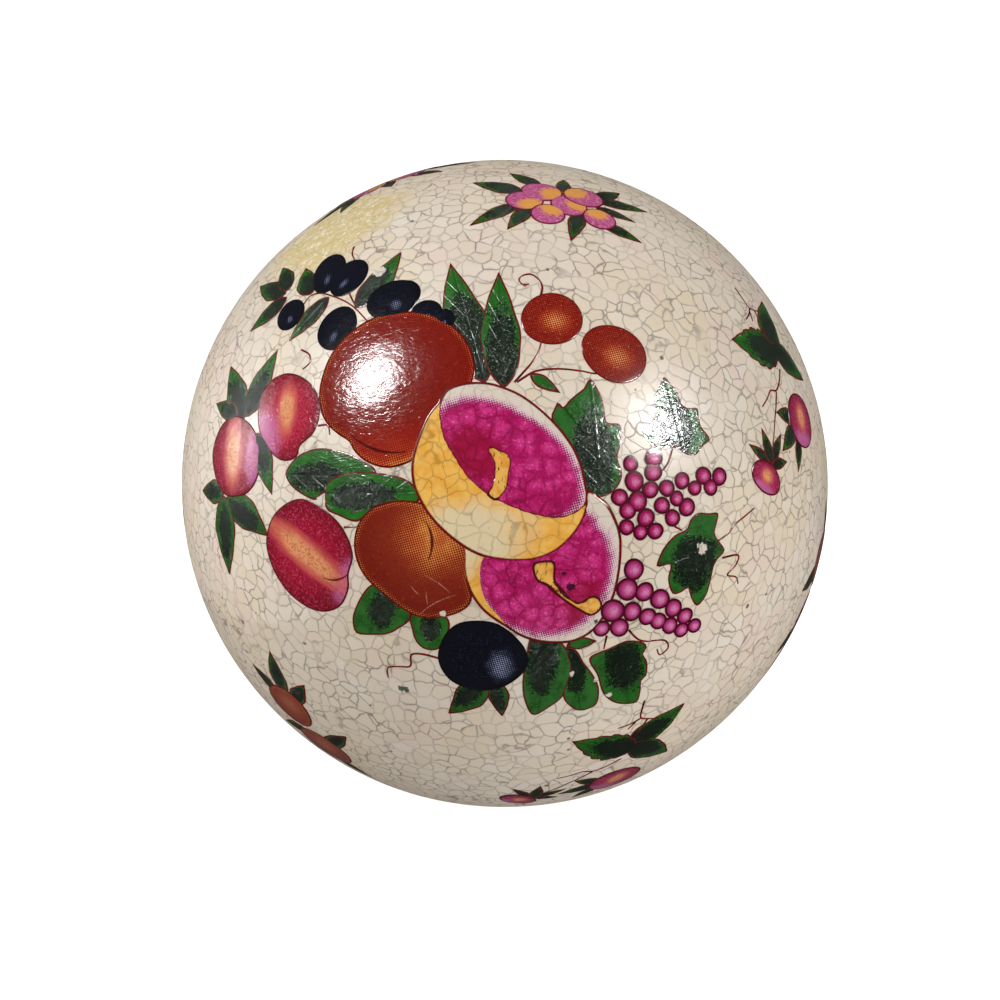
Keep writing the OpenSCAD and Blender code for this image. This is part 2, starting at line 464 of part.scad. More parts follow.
module back_edge_leaves() { peach_sprig("back", "edge", "leaves", leaf_green); }
module back_edge_peaches() { peach_sprig("back", "edge", "fruit", cherry_red); }

upper_half_shell();
lower_half_shell();
luting_seam();
glaze_coat();
front_spray_leaves();
front_spray_peaches();
front_spray_melon_skins();
front_spray_melon_flesh();
front_spray_seed_stalks();
front_spray_red_plums();
front_spray_blue_plums();
front_spray_cherries();
front_spray_grapes();
front_spray_tendrils();
front_crown_leaves();
front_crown_berries();
front_side_leaves();
front_side_plums();
front_side_twigs();
front_foot_leaves();
front_foot_plums();
front_foot_twigs();
front_left_leaves();
front_left_peaches();
front_edge_leaves();
front_edge_peaches();
back_spray_leaves();
back_spray_peaches();
back_spray_melon_skins();
back_spray_melon_flesh();
back_spray_seed_stalks();
back_spray_red_plums();
back_spray_blue_plums();
back_spray_cherries();
back_spray_grapes();
back_spray_tendrils();
back_crown_leaves();
back_crown_berries();
back_side_leaves();
back_side_plums();
back_side_twigs();
back_foot_leaves();
back_foot_plums();
back_foot_twigs();
back_left_leaves();
back_left_peaches();
back_edge_leaves();
back_edge_peaches();
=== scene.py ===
"""A hollow ceramic ball of croquet size, with a crackle glaze and fruit transfers fired on it.

Flat drawings are in sheet millimetres: distances along the glaze from a spray's axis, x to the
right and y upwards. A sheet lays them on the ball. Everything else is in metres, with the origin
at the centre of the ball, X to the right of the front spray, Y to the back and Z up.
"""
from __future__ import annotations

import logging
import math
import random
from dataclasses import dataclass, field
from enum import Enum

import bmesh
import bpy
import numpy as np
from mathutils import Matrix, Vector


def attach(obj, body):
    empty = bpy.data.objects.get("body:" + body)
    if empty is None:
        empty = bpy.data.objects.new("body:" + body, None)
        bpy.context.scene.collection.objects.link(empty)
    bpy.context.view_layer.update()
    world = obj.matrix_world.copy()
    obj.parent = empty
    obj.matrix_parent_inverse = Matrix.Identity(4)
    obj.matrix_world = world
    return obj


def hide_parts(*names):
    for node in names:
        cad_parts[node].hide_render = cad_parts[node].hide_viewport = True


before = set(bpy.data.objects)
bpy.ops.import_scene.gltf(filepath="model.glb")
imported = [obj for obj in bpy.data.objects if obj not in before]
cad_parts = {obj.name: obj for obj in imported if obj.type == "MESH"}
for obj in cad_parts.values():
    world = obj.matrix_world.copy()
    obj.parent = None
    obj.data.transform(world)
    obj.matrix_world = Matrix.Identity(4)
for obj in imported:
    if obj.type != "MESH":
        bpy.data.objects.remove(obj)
LOG = logging.getLogger("fruit_ball")
MM = 0.001
BALL_R = 46.0
GLAZE_T = 0.4
VENT_R = 2.0
SPRAY_TIP = 15.0
# Share of its drawn height that a film keeps
FIRED_SHARE = 0.6
# Depth of a film's underside in the glaze, in millimetres
FILM_SUNK = 0.08
# Pieces to a span of a drawn line
LINE_STEPS = 8
# In metres from the ball's centre
LIGHT_AWAY = 0.6
FLOOR_Z = -0.0462
FLOOR_R = 8.0
Point = tuple[float, float]
Colour = tuple[float, float, float]
Paths = tuple[tuple[Point, ...], ...]
# A film to print: its name, node, finish and patches
Drawn = tuple[str, str, str, "list[Patch]"]


class Side(Enum):
    """Which half of the ball a transfer is on, with its turn about the upright axis."""

    FRONT = 0.0
    BACK = 180.0


def srgb(red: int, green: int, blue: int) -> Colour:
    """Turns a colour as seen, 0 to 255, into the linear values that shaders use.

    Args:
        red: Red as seen.
        green: Green as seen.
        blue: Blue as seen.

    Returns:
        The linear colour.
    """
    def lin(v: float) -> float:
        """Returns one channel made linear."""
        v /= 255.0
        return v / 12.92 if v <= 0.04045 else ((v + 0.055) / 1.055) ** 2.4

    return (lin(red), lin(green), lin(blue))


def swell(d: Vector) -> float:
    """How far the hand-finished clay stands off a true sphere.

    Args:
        d: Unit direction from the centre.

    Returns:
        The offset in millimetres, within 0.15.
    """
    return (0.07 * math.sin(3.1 * d.x + 1.7 * d.z + 0.4) * math.cos(2.3 * d.y - 0.8)
            + 0.04 * math.sin(5.9 * d.z + 2.0 * d.x - 3.1 * d.y)
            + 0.02 * math.sin(9.0 * d.x - 6.0 * d.y + 4.0 * d.z))


# ---------------------------------------------------------------- outlines


def spline(a: Point, b: Point, c: Point, d: Point, t: float) -> Point:
    """Returns the place at t, 0 to 1, on a smooth curve from b to c, whose neighbours are a and d."""
    return tuple(
        0.5 * (2 * b[m] + (c[m] - a[m]) * t + (2 * a[m] - 5 * b[m] + 4 * c[m] - d[m]) * t * t
               + (3 * b[m] - a[m] - 3 * c[m] + d[m]) * t ** 3) for m in (0, 1))


def looped(points: list[Point], steps: int = 6) -> list[Point]:
    """Draws a closed smooth curve through given points.

    Args:
        points: The points, in order.
        steps: Pieces to a span.

    Returns:
        The curve's points.
    """
    out: list[Point] = []
    n = len(points)
    for i in range(n):
        a, b, c, d = (points[(i + k - 1) % n] for k in range(4))
        out += [spline(a, b, c, d, j / steps) for j in range(steps)]
    return out


def oval(cx: float, cy: float, a: float, b: float, tilt: float = 0.0, wobble: float = 0.0) -> list[Point]:
    """Draws an oval, a little uneven if asked.

    Args:
        cx: Middle, across.
        cy: Middle, up.
        a: Half width.
        b: Half height.
        tilt: Turn in degrees.
        wobble: Unevenness as a share of the size.

    Returns:
        The oval's points.
    """
    ct, st = math.cos(math.radians(tilt)), math.sin(math.radians(tilt))
    out = []
    for i in range(72):
        t = math.tau * i / 72
        k = 1 + wobble * (math.sin(2 * t + cx) + 0.6 * math.sin(3 * t + cy))
        x, y = a * k * math.cos(t), b * k * math.sin(t)
        out.append((cx + x * ct - y * st, cy + x * st + y * ct))
    return out


def leaf_half(s: float) -> float:
    """Returns half of a leaf's width at s of its length, as a share of the widest."""
    return math.sin(math.pi * max(s, 0.0) ** 0.72)


def leaf_outline(base: Point, tip: Point, width: float, bow: float = 0.0, teeth: int = 0) -> list[Point]:
    """Draws a pointed leaf.

    Args:
        base: Where it starts.
        tip: Its point.
        width: Its widest.
        bow: How far its middle is pushed sideways.
        teeth: Saw teeth on each side.

    Returns:
        The outline, out along one side and back along the other.
    """
    b, d = Vector(base), Vector(tip) - Vector(base)
    v = Vector((-d.y, d.x)).normalized()
    n = 40
    side = []
    for i in range(n + 1):
        s = i / n
        h = width / 2 * leaf_half(s)
        if teeth:
            h *= 1 + 0.2 * ((s * teeth * 1.4) % 1.0 - 0.5) * min(1.0, 6 * (1 - s))
        else:
            h *= 1 + 0.035 * math.sin(19 * s + tip[0]) * min(1.0, 6 * (1 - s))
        side.append((s, h))
    left = [b + d * s + v * (h + 4 * bow * s * (1 - s)) for s, h in side]
    right = [b + d * s + v * (-h + 4 * bow * s * (1 - s)) for s, h in side[-2:0:-1]]
    return [(p.x, p.y) for p in left + right]


def evenly(curve: list[Point], n: int) -> np.ndarray:
    """Sets n points along a closed curve at even distances.

    Args:
        curve: The closed curve.
        n: How many points.

    Returns:
        The points, one to a row.
    """
    pts = np.array(curve + curve[:1])
    run = np.concatenate(([0.0], np.cumsum(np.hypot(*np.diff(pts, axis=0).T))))
    at = np.linspace(0.0, run[-1], n, endpoint=False)
    return np.stack([np.interp(at, run, pts[:, k]) for k in (0, 1)], axis=1)


def edge_distance(points: np.ndarray, curve: np.ndarray) -> np.ndarray:
    """Measures how far each point is from a closed curve.

    Args:
        points: The points, one to a row.
        curve: The curve's points.

    Returns:
        One distance for each point.
    """
    a, b = curve, np.roll(curve, -1, axis=0)
    d = b - a
    best = np.full(len(points), 1e9)
    for p, q in zip(a, d):
        t = np.clip(((points - p) @ q) / max(float(q @ q), 1e-12), 0.0, 1.0)
        best = np.minimum(best, np.hypot(*(points - p - t[:, None] * q).T))
    return best


# ---------------------------------------------------------------- sheets and films


@dataclass(frozen=True)
class Sheet:
    """The place of a flat drawing on the ball.

    Attributes:
        side: Which spray it goes with.
        clock: Direction of the sheet's own axis from the spray's, anticlockwise from the right.
        away: Degrees from the spray's axis to its own.
        turn: Turn of the drawing on the sheet.
        shift: Shift of the drawing on the sheet.
    """

    side: Side
    clock: float = 0.0
    away: float = 0.0
    turn: float = 0.0
    shift: Point = (0.0, 0.0)

    def matrix(self) -> Matrix:
        """Returns the turn from the sheet's axis to the ball's."""
        return (Matrix.Rotation(math.radians(self.side.value), 3, "Z")
                @ Matrix.Rotation(math.radians(90 - SPRAY_TIP), 3, "X")
                @ Matrix.Rotation(math.radians(self.clock), 3, "Z")
                @ Matrix.Rotation(math.radians(self.away), 3, "Y")
                @ Matrix.Rotation(math.radians(-self.clock), 3, "Z"))

    def lay(self, turn: Matrix, x: float, y: float, lift: float) -> Vector:
        """Lays one point of the drawing on the ball.

        Args:
            turn: The sheet's matrix, worked out once.
            x: Across the drawing.
            y: Up the drawing.
            lift: Height over the glaze.

        Returns:
            The point, in metres.
        """
        c, s = math.cos(math.radians(self.turn)), math.sin(math.radians(self.turn))
        u, v = x * c - y * s + self.shift[0], x * s + y * c + self.shift[1]
        r = max(math.hypot(u, v), 1e-6)
        k = math.sin(r / BALL_R) / r
        d = turn @ Vector((u * k, v * k, math.cos(r / BALL_R)))
        return d * ((BALL_R + swell(d) + lift) * MM)


@dataclass
class Patch:
    """One printed shape.

    Attributes:
        outline: Its closed outline on the sheet.
        middle: A point that sees all of the outline.
        own: Origin, half sizes and turn of the frame that its shading is drawn in.
        lift: Height of its film over the glaze.
        crown: How much higher the film is away from its edge.
        rim: The whole shape's outline, where the patch is only a part of it.
    """

    outline: list[Point]
    middle: Point
    own: tuple[float, float, float, float, float]
    lift: float = 0.05
    crown: float = 0.03
    rim: list[Point] | None = None

    def own_frame(self, x: float, y: float) -> Point:
        """Returns a sheet point in the shape's own frame, where its sides are at 1 and -1."""
        ox, oy, a, b, tilt = self.own
        c, s = math.cos(math.radians(tilt)), math.sin(math.radians(tilt))
        return (((x - ox) * c + (y - oy) * s) / a, (-(x - ox) * s + (y - oy) * c) / b)


def round_patch(cx: float, cy: float, a: float, b: float, tilt: float = 0.0, lift: float = 0.06,
                wobble: float = 0.012) -> Patch:
    """Makes the patch of a round fruit.

    Args:
        cx: Middle, across.
        cy: Middle, up.
        a: Half width.
        b: Half height.
        tilt: Turn in degrees.
        lift: Height of the film.
        wobble: Unevenness.

    Returns:
        The patch.
    """
    return Patch(oval(cx, cy, a, b, tilt, wobble), (cx, cy), (cx, cy, a, b, tilt), lift)


def leaf_patch(base: Point, tip: Point, width: float, bow: float = 0.0, lift: float = 0.03,
               teeth: int = 0) -> Patch:
    """Makes the patch of a leaf, whose own frame runs from base to tip.

    Args:
        base: Where it starts.
        tip: Its point.
        width: Its widest.
        bow: Sideways bend.
        lift: Height of the film.
        teeth: Saw teeth on each side.

    Returns:
        The patch.
    """
    d = Vector(tip) - Vector(base)
    v = Vector((-d.y, d.x)).normalized()
    m = Vector(base) + d * 0.45 + v * bow
    tilt = math.degrees(math.atan2(d.y, d.x))
    own = (base[0], base[1], d.length, width / 2, tilt)
    return Patch(leaf_outline(base, tip, width, bow, teeth), (m.x, m.y), own, lift, 0.02)


def vine_patch(outline: list[Point], middle: Point, base: Point, tip: Point, width: float,
               lift: float = 0.03) -> Patch:
    """Makes the patch of a lobed leaf.

    Args:
        outline: Its outline.
        middle: A point that sees all of it.
        base: Where its stalk joins.
        tip: The end of its middle vein.
        width: Its width.
        lift: Height of the film.

    Returns:
        The patch.
    """
    d = Vector(tip) - Vector(base)
    own = (base[0], base[1], d.length, width / 2, math.degrees(math.atan2(d.y, d.x)))
    return Patch(looped(outline, 3), middle, own, lift, 0.02)


class Film:
    """A group of printed shapes made one thin fired skin."""

    def __init__(self, name: str, sheet: Sheet, patches: list[Patch]) -> None:
        """Sets the film up.

        Args:
            name: The piece's name.
            sheet: The sheet it is drawn on.
            patches: Its shapes, lower ones first.
        """
        self.name, self.sheet, self.patches = name, sheet, patches

    def _disc(self, patch: Patch, index: int, count: int) -> bpy.types.Mesh:
        """Builds one closed patch: a spun profile, top and underside, warped to the outline.

        Args:
            patch: The shape.
            index: Its number in the film, which picks its cell of the bake map.
            count: How many shapes the film has.

        Returns:
            The patch as a mesh.
        """
        length = sum(math.dist(p, q) for p, q in zip(patch.outline, patch.outline[1:]))
        steps = int(min(max(length / 0.55, 20), 150))
        curve = evenly(patch.outline, steps)
        mid = np.array(patch.middle)
        rho = float(np.mean(np.hypot(*(curve - mid).T)))
        near = [d / rho for d in (0.18, 0.4, 0.8) if d < 0.6 * rho]
        inner = max(2, int(rho * (1 - near[-1]) / 0.9))
        rings = [(1 - near[-1]) * i / inner for i in range(inner + 1)] + [1 - d for d in near[-2::-1]] + [1.0]
        bm = bmesh.new()
        profile = [bm.verts.new((f, 0, 1)) for f in rings]
        profile += [bm.verts.new((f, 0, 0)) for f in (1.0, 0.45, 0.0)]
        edges = [bm.edges.new(pair) for pair in zip(profile, profile[1:])]
        bmesh.ops.spin(bm, geom=profile + edges, cent=(0, 0, 0), axis=(0, 0, 1), angle=math.tau,
                       steps=steps, use_merge=True)
        bmesh.ops.remove_doubles(bm, verts=bm.verts, dist=1e-5)
        bm.verts.index_update()
        flat = np.zeros((len(bm.verts), 2))
        top = []
        for v in bm.verts:
            f = math.hypot(v.co.x, v.co.y)
            i = int(round(math.atan2(v.co.y, v.co.x) / math.tau * steps)) % steps
            flat[v.index] = mid + min(f, 1.0) * (curve[i] - mid)
            top.append(v.co.z > 0.5)
        edge = edge_distance(flat, np.array(patch.rim) if patch.rim else curve)
        edge_layer = bm.verts.layers.float.new("edge")
        seed_layer = bm.verts.layers.float.new("seed")
        seed = random.Random(f"{self.name}{index}").random()
        turn = self.sheet.matrix()
        for v in bm.verts:
            x, y = flat[v.index]
            d = float(edge[v.index])
            ridge = min(d / 0.5, 1.0)
            height = (patch.lift + patch.crown * ridge) * FIRED_SHARE
            v.co = self.sheet.lay(turn, x, y, height if top[v.index] else -FILM_SUNK)
            v[edge_layer] = d if top[v.index] else 0.0
            v[seed_layer] = seed
        bmesh.ops.recalc_face_normals(bm, faces=bm.faces)
        low, high = flat.min(axis=0), flat.max(axis=0)
        span = float(max(high - low)) * 1.06
        cols = math.ceil(math.sqrt(count))
        cell = Vector(((index % cols) / cols, (index // cols) / cols))
        sheet_uv, own_uv, bake_uv = (bm.loops.layers.uv.new(n) for n in ("sheet", "own", "OFBake"))
        for face in bm.faces:
            face.smooth = True
            shown = all(top[v.index] for v in face.verts)
            for loop in face.loops:
                x, y = flat[loop.vert.index]
                loop[sheet_uv].uv = (x * 0.01, y * 0.01)
                loop[own_uv].uv = patch.own_frame(x, y)
                at = Vector(((x - low[0]) / span + 0.02, (y - low[1]) / span + 0.02))
                loop[bake_uv].uv = cell + (at if shown else at * 0.015) / cols
        for e in bm.edges:
            if top[e.verts[0].index] != top[e.verts[1].index]:
                continue
            if all(len(v.link_edges) and edge[v.index] < 1e-6 and top[v.index] for v in e.verts):
                e.smooth = False
        mesh = bpy.data.meshes.new(self.name)
        bm.to_mesh(mesh)
        bm.free()
        return mesh

    def build(self, material: bpy.types.Material) -> bpy.types.Object:
        """Joins the patches into one piece.

        Args:
            material: Its finish.

        Returns:
            The piece.
        """
        whole = bmesh.new()
        for i, patch in enumerate(self.patches):
            part = self._disc(patch, i, len(self.patches))
            whole.from_mesh(part)
            bpy.data.meshes.remove(part)
        return finish_piece(self.name, whole, material)


class Lines:
    """Thin drawn stems and tendrils, each a low closed bead along its path."""

    def __init__(self, name: str, sheet: Sheet, paths: list[list[Point]], width: float = 0.34) -> None:
        """Sets the lines up.

        Args:
            name: The piece's name.
            sheet: The sheet they are drawn on.
            paths: Each line's given points.
            width: Width of a line.
        """
        self.name, self.sheet, self.paths, self.width = name, sheet, paths, width

    def _bead(self, path: list[Point], index: int) -> bpy.types.Mesh:
        """Builds one line from a half-turn spin of its section, straightened onto its path.

        Args:
            path: The line's points.
            index: Its number.

        Returns:
            The line as a mesh.
        """
        pts = [path[0], *path, path[-1]]
        curve = []
        for a, b, c, d in zip(pts, pts[1:], pts[2:], pts[3:]):
            curve += [spline(a, b, c, d, j / LINE_STEPS) for j in range(LINE_STEPS)]
        curve.append(path[-1])
        line = np.array(curve)
        tangent = np.gradient(line, axis=0)
        across = np.stack([-tangent[:, 1], tangent[:, 0]], axis=1)
        across /= np.maximum(np.hypot(*across.T), 1e-9)[:, None]
        steps = len(line) - 1
        bm = bmesh.new()
        section = [(-1, -1), (-0.85, 0.5), (0, 1), (0.85, 0.5), (1, -1)]
        ring = [bm.verts.new((3 + a, 0, b)) for a, b in section]
        edges = [bm.edges.new((ring[i], ring[(i + 1) % len(ring)])) for i in range(len(ring))]
        bmesh.ops.spin(bm, geom=ring + edges, cent=(0, 0, 0), axis=(0, 0, 1), angle=math.pi, steps=steps)
        bmesh.ops.remove_doubles(bm, verts=bm.verts, dist=1e-6)
        ends = [e for e in bm.edges if e.is_boundary]
        bmesh.ops.holes_fill(bm, edges=ends, sides=8)
        edge_layer = bm.verts.layers.float.new("edge")
        seed_layer = bm.verts.layers.float.new("seed")
        turn = self.sheet.matrix()
        bm.verts.index_update()
        flat = {}
        for v in bm.verts:
            r, t = math.hypot(v.co.x, v.co.y) - 3, abs(math.atan2(v.co.y, v.co.x)) / math.pi
            i = min(int(round(t * steps)), steps)
            taper = 1 - 0.35 * (i / steps)
            x, y = line[i] + across[i] * r * self.width / 2 * taper
            flat[v.index] = (x, y)
            v.co = self.sheet.lay(turn, x, y, 0.035 * v.co.z + 0.012)
            v[edge_layer], v[seed_layer] = 0.1, index * 0.37 % 1.0
        bmesh.ops.recalc_face_normals(bm, faces=bm.faces)
        sheet_uv, own_uv = (bm.loops.layers.uv.new(n) for n in ("sheet", "own"))
        for face in bm.faces:
            face.smooth = True
            for loop in face.loops:
                x, y = flat[loop.vert.index]
                loop[sheet_uv].uv = loop[own_uv].uv = (x * 0.01, y * 0.01)
        mesh = bpy.data.meshes.new(self.name)
        bm.to_mesh(mesh)
        bm.free()
        return mesh

    def build(self, material: bpy.types.Material) -> bpy.types.Object:
        """Joins the lines into one piece.

        Args:
            material: Their finish.

        Returns:
            The piece.
        """
        whole = bmesh.new()
        for i, path in enumerate(self.paths):
            part = self._bead(path, i)
            whole.from_mesh(part)
            bpy.data.meshes.remove(part)
        return finish_piece(self.name, whole, material)


def finish_piece(name: str, bm: bmesh.types.BMesh, material: bpy.types.Material) -> bpy.types.Object:
    """Turns a bmesh into a linked object at the origin.

    Args:
        name: The piece's name.
        bm: Its mesh, freed here.
        material: Its finish.

    Returns:
        The object.
    """
    mesh = bpy.data.meshes.new(name)
    bm.to_mesh(mesh)
    bm.free()
    mesh.materials.append(material)
    obj = bpy.data.objects.new(name, mesh)
    bpy.context.scene.collection.objects.link(obj)
    return obj


# ---------------------------------------------------------------- shader expressions


class Value:
    """A shader value that Python expressions can use; each operation adds its Math node."""

    def __init__(self, kit: Kit, socket: bpy.types.NodeSocket) -> None:
        self.kit, self.socket = kit, socket

    def _op(self, operation: str, a: object, b: object = 0.0) -> Value:
        """Adds a Math node and returns its result."""
        made = self.kit.node("ShaderNodeMath", {"operation": operation}, {0: a, 1: b})
        return Value(self.kit, made.outputs[0])

    def __add__(self, other: object) -> Value:
        """Returns the sum."""
        return self._op("ADD", self, other)

    __radd__ = __add__

    def __sub__(self, other: object) -> Value:
        """Returns the difference."""
        return self._op("SUBTRACT", self, other)

    def __rsub__(self, other: object) -> Value:
        """Returns the difference the other way round."""
        return self._op("SUBTRACT", other, self)

    def __mul__(self, other: object) -> Value:
        """Returns the product."""
        return self._op("MULTIPLY", self, other)

    __rmul__ = __mul__

    def __truediv__(self, other: object) -> Value:
        """Returns the quotient."""
        return self._op("DIVIDE", self, other)

    def __pow__(self, other: object) -> Value:
        """Returns the power."""
        return self._op("POWER", self, other)

    def __abs__(self) -> Value:
        """Returns the size without its sign."""
        return self._op("ABSOLUTE", self)

    def cosine(self) -> Value:
        """Returns the cosine."""
        return self._op("COSINE", self)

    def least(self, other: object) -> Value:
        """Returns the lower of two values."""
        return self._op("MINIMUM", self, other)

    def most(self, other: object) -> Value:
        """Returns the higher of two values."""
        return self._op("MAXIMUM", self, other)

    def smooth(self, low: float, high: float) -> Value:
        """Rises smoothly from 0 to 1.

        Args:
            low: Where it starts.
            high: Where it ends; below low, it falls instead.

        Returns:
            The value, from 0 to 1.
        """
        if low > high:
            return 1.0 - self.smooth(high, low)
        made = self.kit.node("ShaderNodeMapRange", {"interpolation_type": "SMOOTHSTEP"},
                             {"Value": self, "From Min": low, "From Max": high})
        return Value(self.kit, made.outputs["Result"])


class Kit:
    """Builds one material's nodes."""

    def __init__(self, name: str) -> None:
        """Starts an empty material.

        Args:
            name: The material's name.
        """
        self.material = bpy.data.materials.new(name)
        self.material.use_nodes = True
        self.tree = self.material.node_tree
        self.tree.nodes.clear()

    def node(self, kind: str, settings: dict[str, object] | None = None,
             inputs: dict[object, object] | None = None) -> bpy.types.Node:
        """Adds a node.

        Args:
            kind: The node's type.
            settings: Its settings, set first.
            inputs: Values or links of its sockets, by name or number.

        Returns:
            The node.
        """
        made = self.tree.nodes.new(kind)
        for key, value in (settings or {}).items():
            setattr(made, key, value)
        for key, value in (inputs or {}).items():
            socket = made.inputs[key]
            if isinstance(value, Value):
                self.tree.links.new(value.socket, socket)
            elif isinstance(value, bpy.types.NodeSocket):
                self.tree.links.new(value, socket)
            elif isinstance(value, tuple) and socket.type == "RGBA" and len(value) == 3:
                socket.default_value = (*value, 1.0)
            else:
                socket.default_value = value
        return made

    def mix(self, a: object, b: object, share: object, blend: str = "MIX") -> bpy.types.NodeSocket:
        """Mixes two colours.

        Args:
            a: The first colour, or a link.
            b: The second.
            share: How much of the second.
            blend: The Mix node's blend.

        Returns:
            The colour's socket.
        """
        made = self.node("ShaderNodeMix", {"data_type": "RGBA", "blend_type": blend},
                         {0: share, 6: a, 7: b})
        return made.outputs[2]

    def place(self) -> bpy.types.NodeSocket:
        """Returns the place on the object, in millimetres."""
        coords = self.node("ShaderNodeTexCoord")
        made = self.node("ShaderNodeVectorMath", {"operation": "SCALE"},
                         {0: coords.outputs["Object"], "Scale": 1000.0})
        return made.outputs[0]

    def pair(self, layer: str, scale: float = 1.0) -> tuple[Value, Value]:
        """Returns both coordinates of a UV layer.

        Args:
            layer: The layer's name.
            scale: What to multiply them by.

        Returns:
            The two values.
        """
        uv = self.node("ShaderNodeUVMap", {"uv_map": layer})
        part = self.node("ShaderNodeSeparateXYZ", None, {0: uv.outputs[0]})
        x, y = Value(self, part.outputs[0]), Value(self, part.outputs[1])
        return (x, y) if scale == 1.0 else (x * scale, y * scale)

    def attribute(self, name: str) -> Value:
        """Returns a stored value of the mesh."""
        return Value(self, self.node("ShaderNodeAttribute", {"attribute_name": name}).outputs["Fac"])

    def noise(self, place: object, size: float, detail: float = 2.0, rough: float = 0.5,
              twist: float = 0.0) -> Value:
        """Adds noise.

        Args:
            place: The place in millimetres.
            size: Size of its blotches in millimetres.
            detail: Octaves.
            rough: Share of the finer octaves.
            twist: Distortion.

        Returns:
            The noise, about 0 to 1.
        """
        made = self.node("ShaderNodeTexNoise", None, {
            "Vector": place, "Scale": 1.0 / size, "Detail": detail, "Roughness": rough, "Distortion": twist})
        return Value(self, made.outputs["Fac"])

    def surface(self, colour: object, roughness: object, height: Value | None, relief: float = 0.05,
                coat: float = 0.0, specular: float = 0.5) -> bpy.types.Material:
        """Ends the material.

        Args:
            colour: Its base colour.
            roughness: Its roughness.
            height: Relief in the bump, or None.
            relief: Millimetres that a height of 1 stands for.
            coat: Clear coat.
            specular: Specular level.

        Returns:
            The material.
        """
        inputs: dict[object, object] = {"Base Color": colour, "Roughness": roughness,
                                        "Coat Weight": coat, "Coat Roughness": 0.08,
                                        "Specular IOR Level": specular}
        if height is not None:
            bump = self.node("ShaderNodeBump", None,
                             {"Height": height, "Distance": relief * MM, "Strength": 1.0})
            inputs["Normal"] = bump.outputs[0]
        shader = self.node("ShaderNodeBsdfPrincipled", None, inputs)
        self.node("ShaderNodeOutputMaterial", None, {0: shader.outputs[0]})
        return self.material


# ---------------------------------------------------------------- finishes

CREAM = srgb(235, 222, 205)
OUTLINE = srgb(104, 10, 8)


@dataclass(frozen=True)
class Crackle:
    """The net of fine cracks in the glaze, which also shows through the films.

    Attributes:
        cell: Size of a cell in millimetres.
        width: Width of a crack in millimetres.
    """

    cell: float = 2.05
    width: float = 0.17

    def nets(self, kit: Kit, place: object) -> tuple[Value, Value, Value]:
        """Draws the cracks.

        Args:
            kit: The material being built.
            place: The place in millimetres.

        Returns:
            How much of a crack there is, a tone for each cell, and the distance from its heart.
        """
        drift = kit.node("ShaderNodeTexNoise", None, {"Vector": place, "Scale": 0.3, "Detail": 2.0})
        moved = kit.node("ShaderNodeVectorMath", {"operation": "MULTIPLY_ADD"},
                         {0: drift.outputs["Color"], 1: (2.2, 2.2, 2.2), 2: place}).outputs[0]
        first = kit.node("ShaderNodeTexVoronoi", {"feature": "DISTANCE_TO_EDGE"},
                         {"Vector": moved, "Scale": 1 / self.cell, "Randomness": 0.8})
        cells = kit.node("ShaderNodeTexVoronoi", {"feature": "F1"},
                         {"Vector": moved, "Scale": 1 / self.cell, "Randomness": 0.8})
        wear = kit.noise(place, 5.0, 2.0, 0.6)
        fray = kit.noise(place, 0.5, 2.0, 0.6)
        wide = self.width / self.cell
        near = Value(kit, first.outputs[0]) + (fray - 0.5) * (wide * 0.35)
        deep = wear.smooth(0.36, 0.62)
        line = near.smooth(wide * 0.8, 0.0) * (0.24 + 0.62 * deep)
        halo = near.smooth(wide * 1.9, 0.0) * 0.12
        tone = kit.node("ShaderNodeSeparateColor", None, {0: cells.outputs["Color"]})
        return line + halo, Value(kit, tone.outputs[0]), Value(kit, cells.outputs["Distance"])


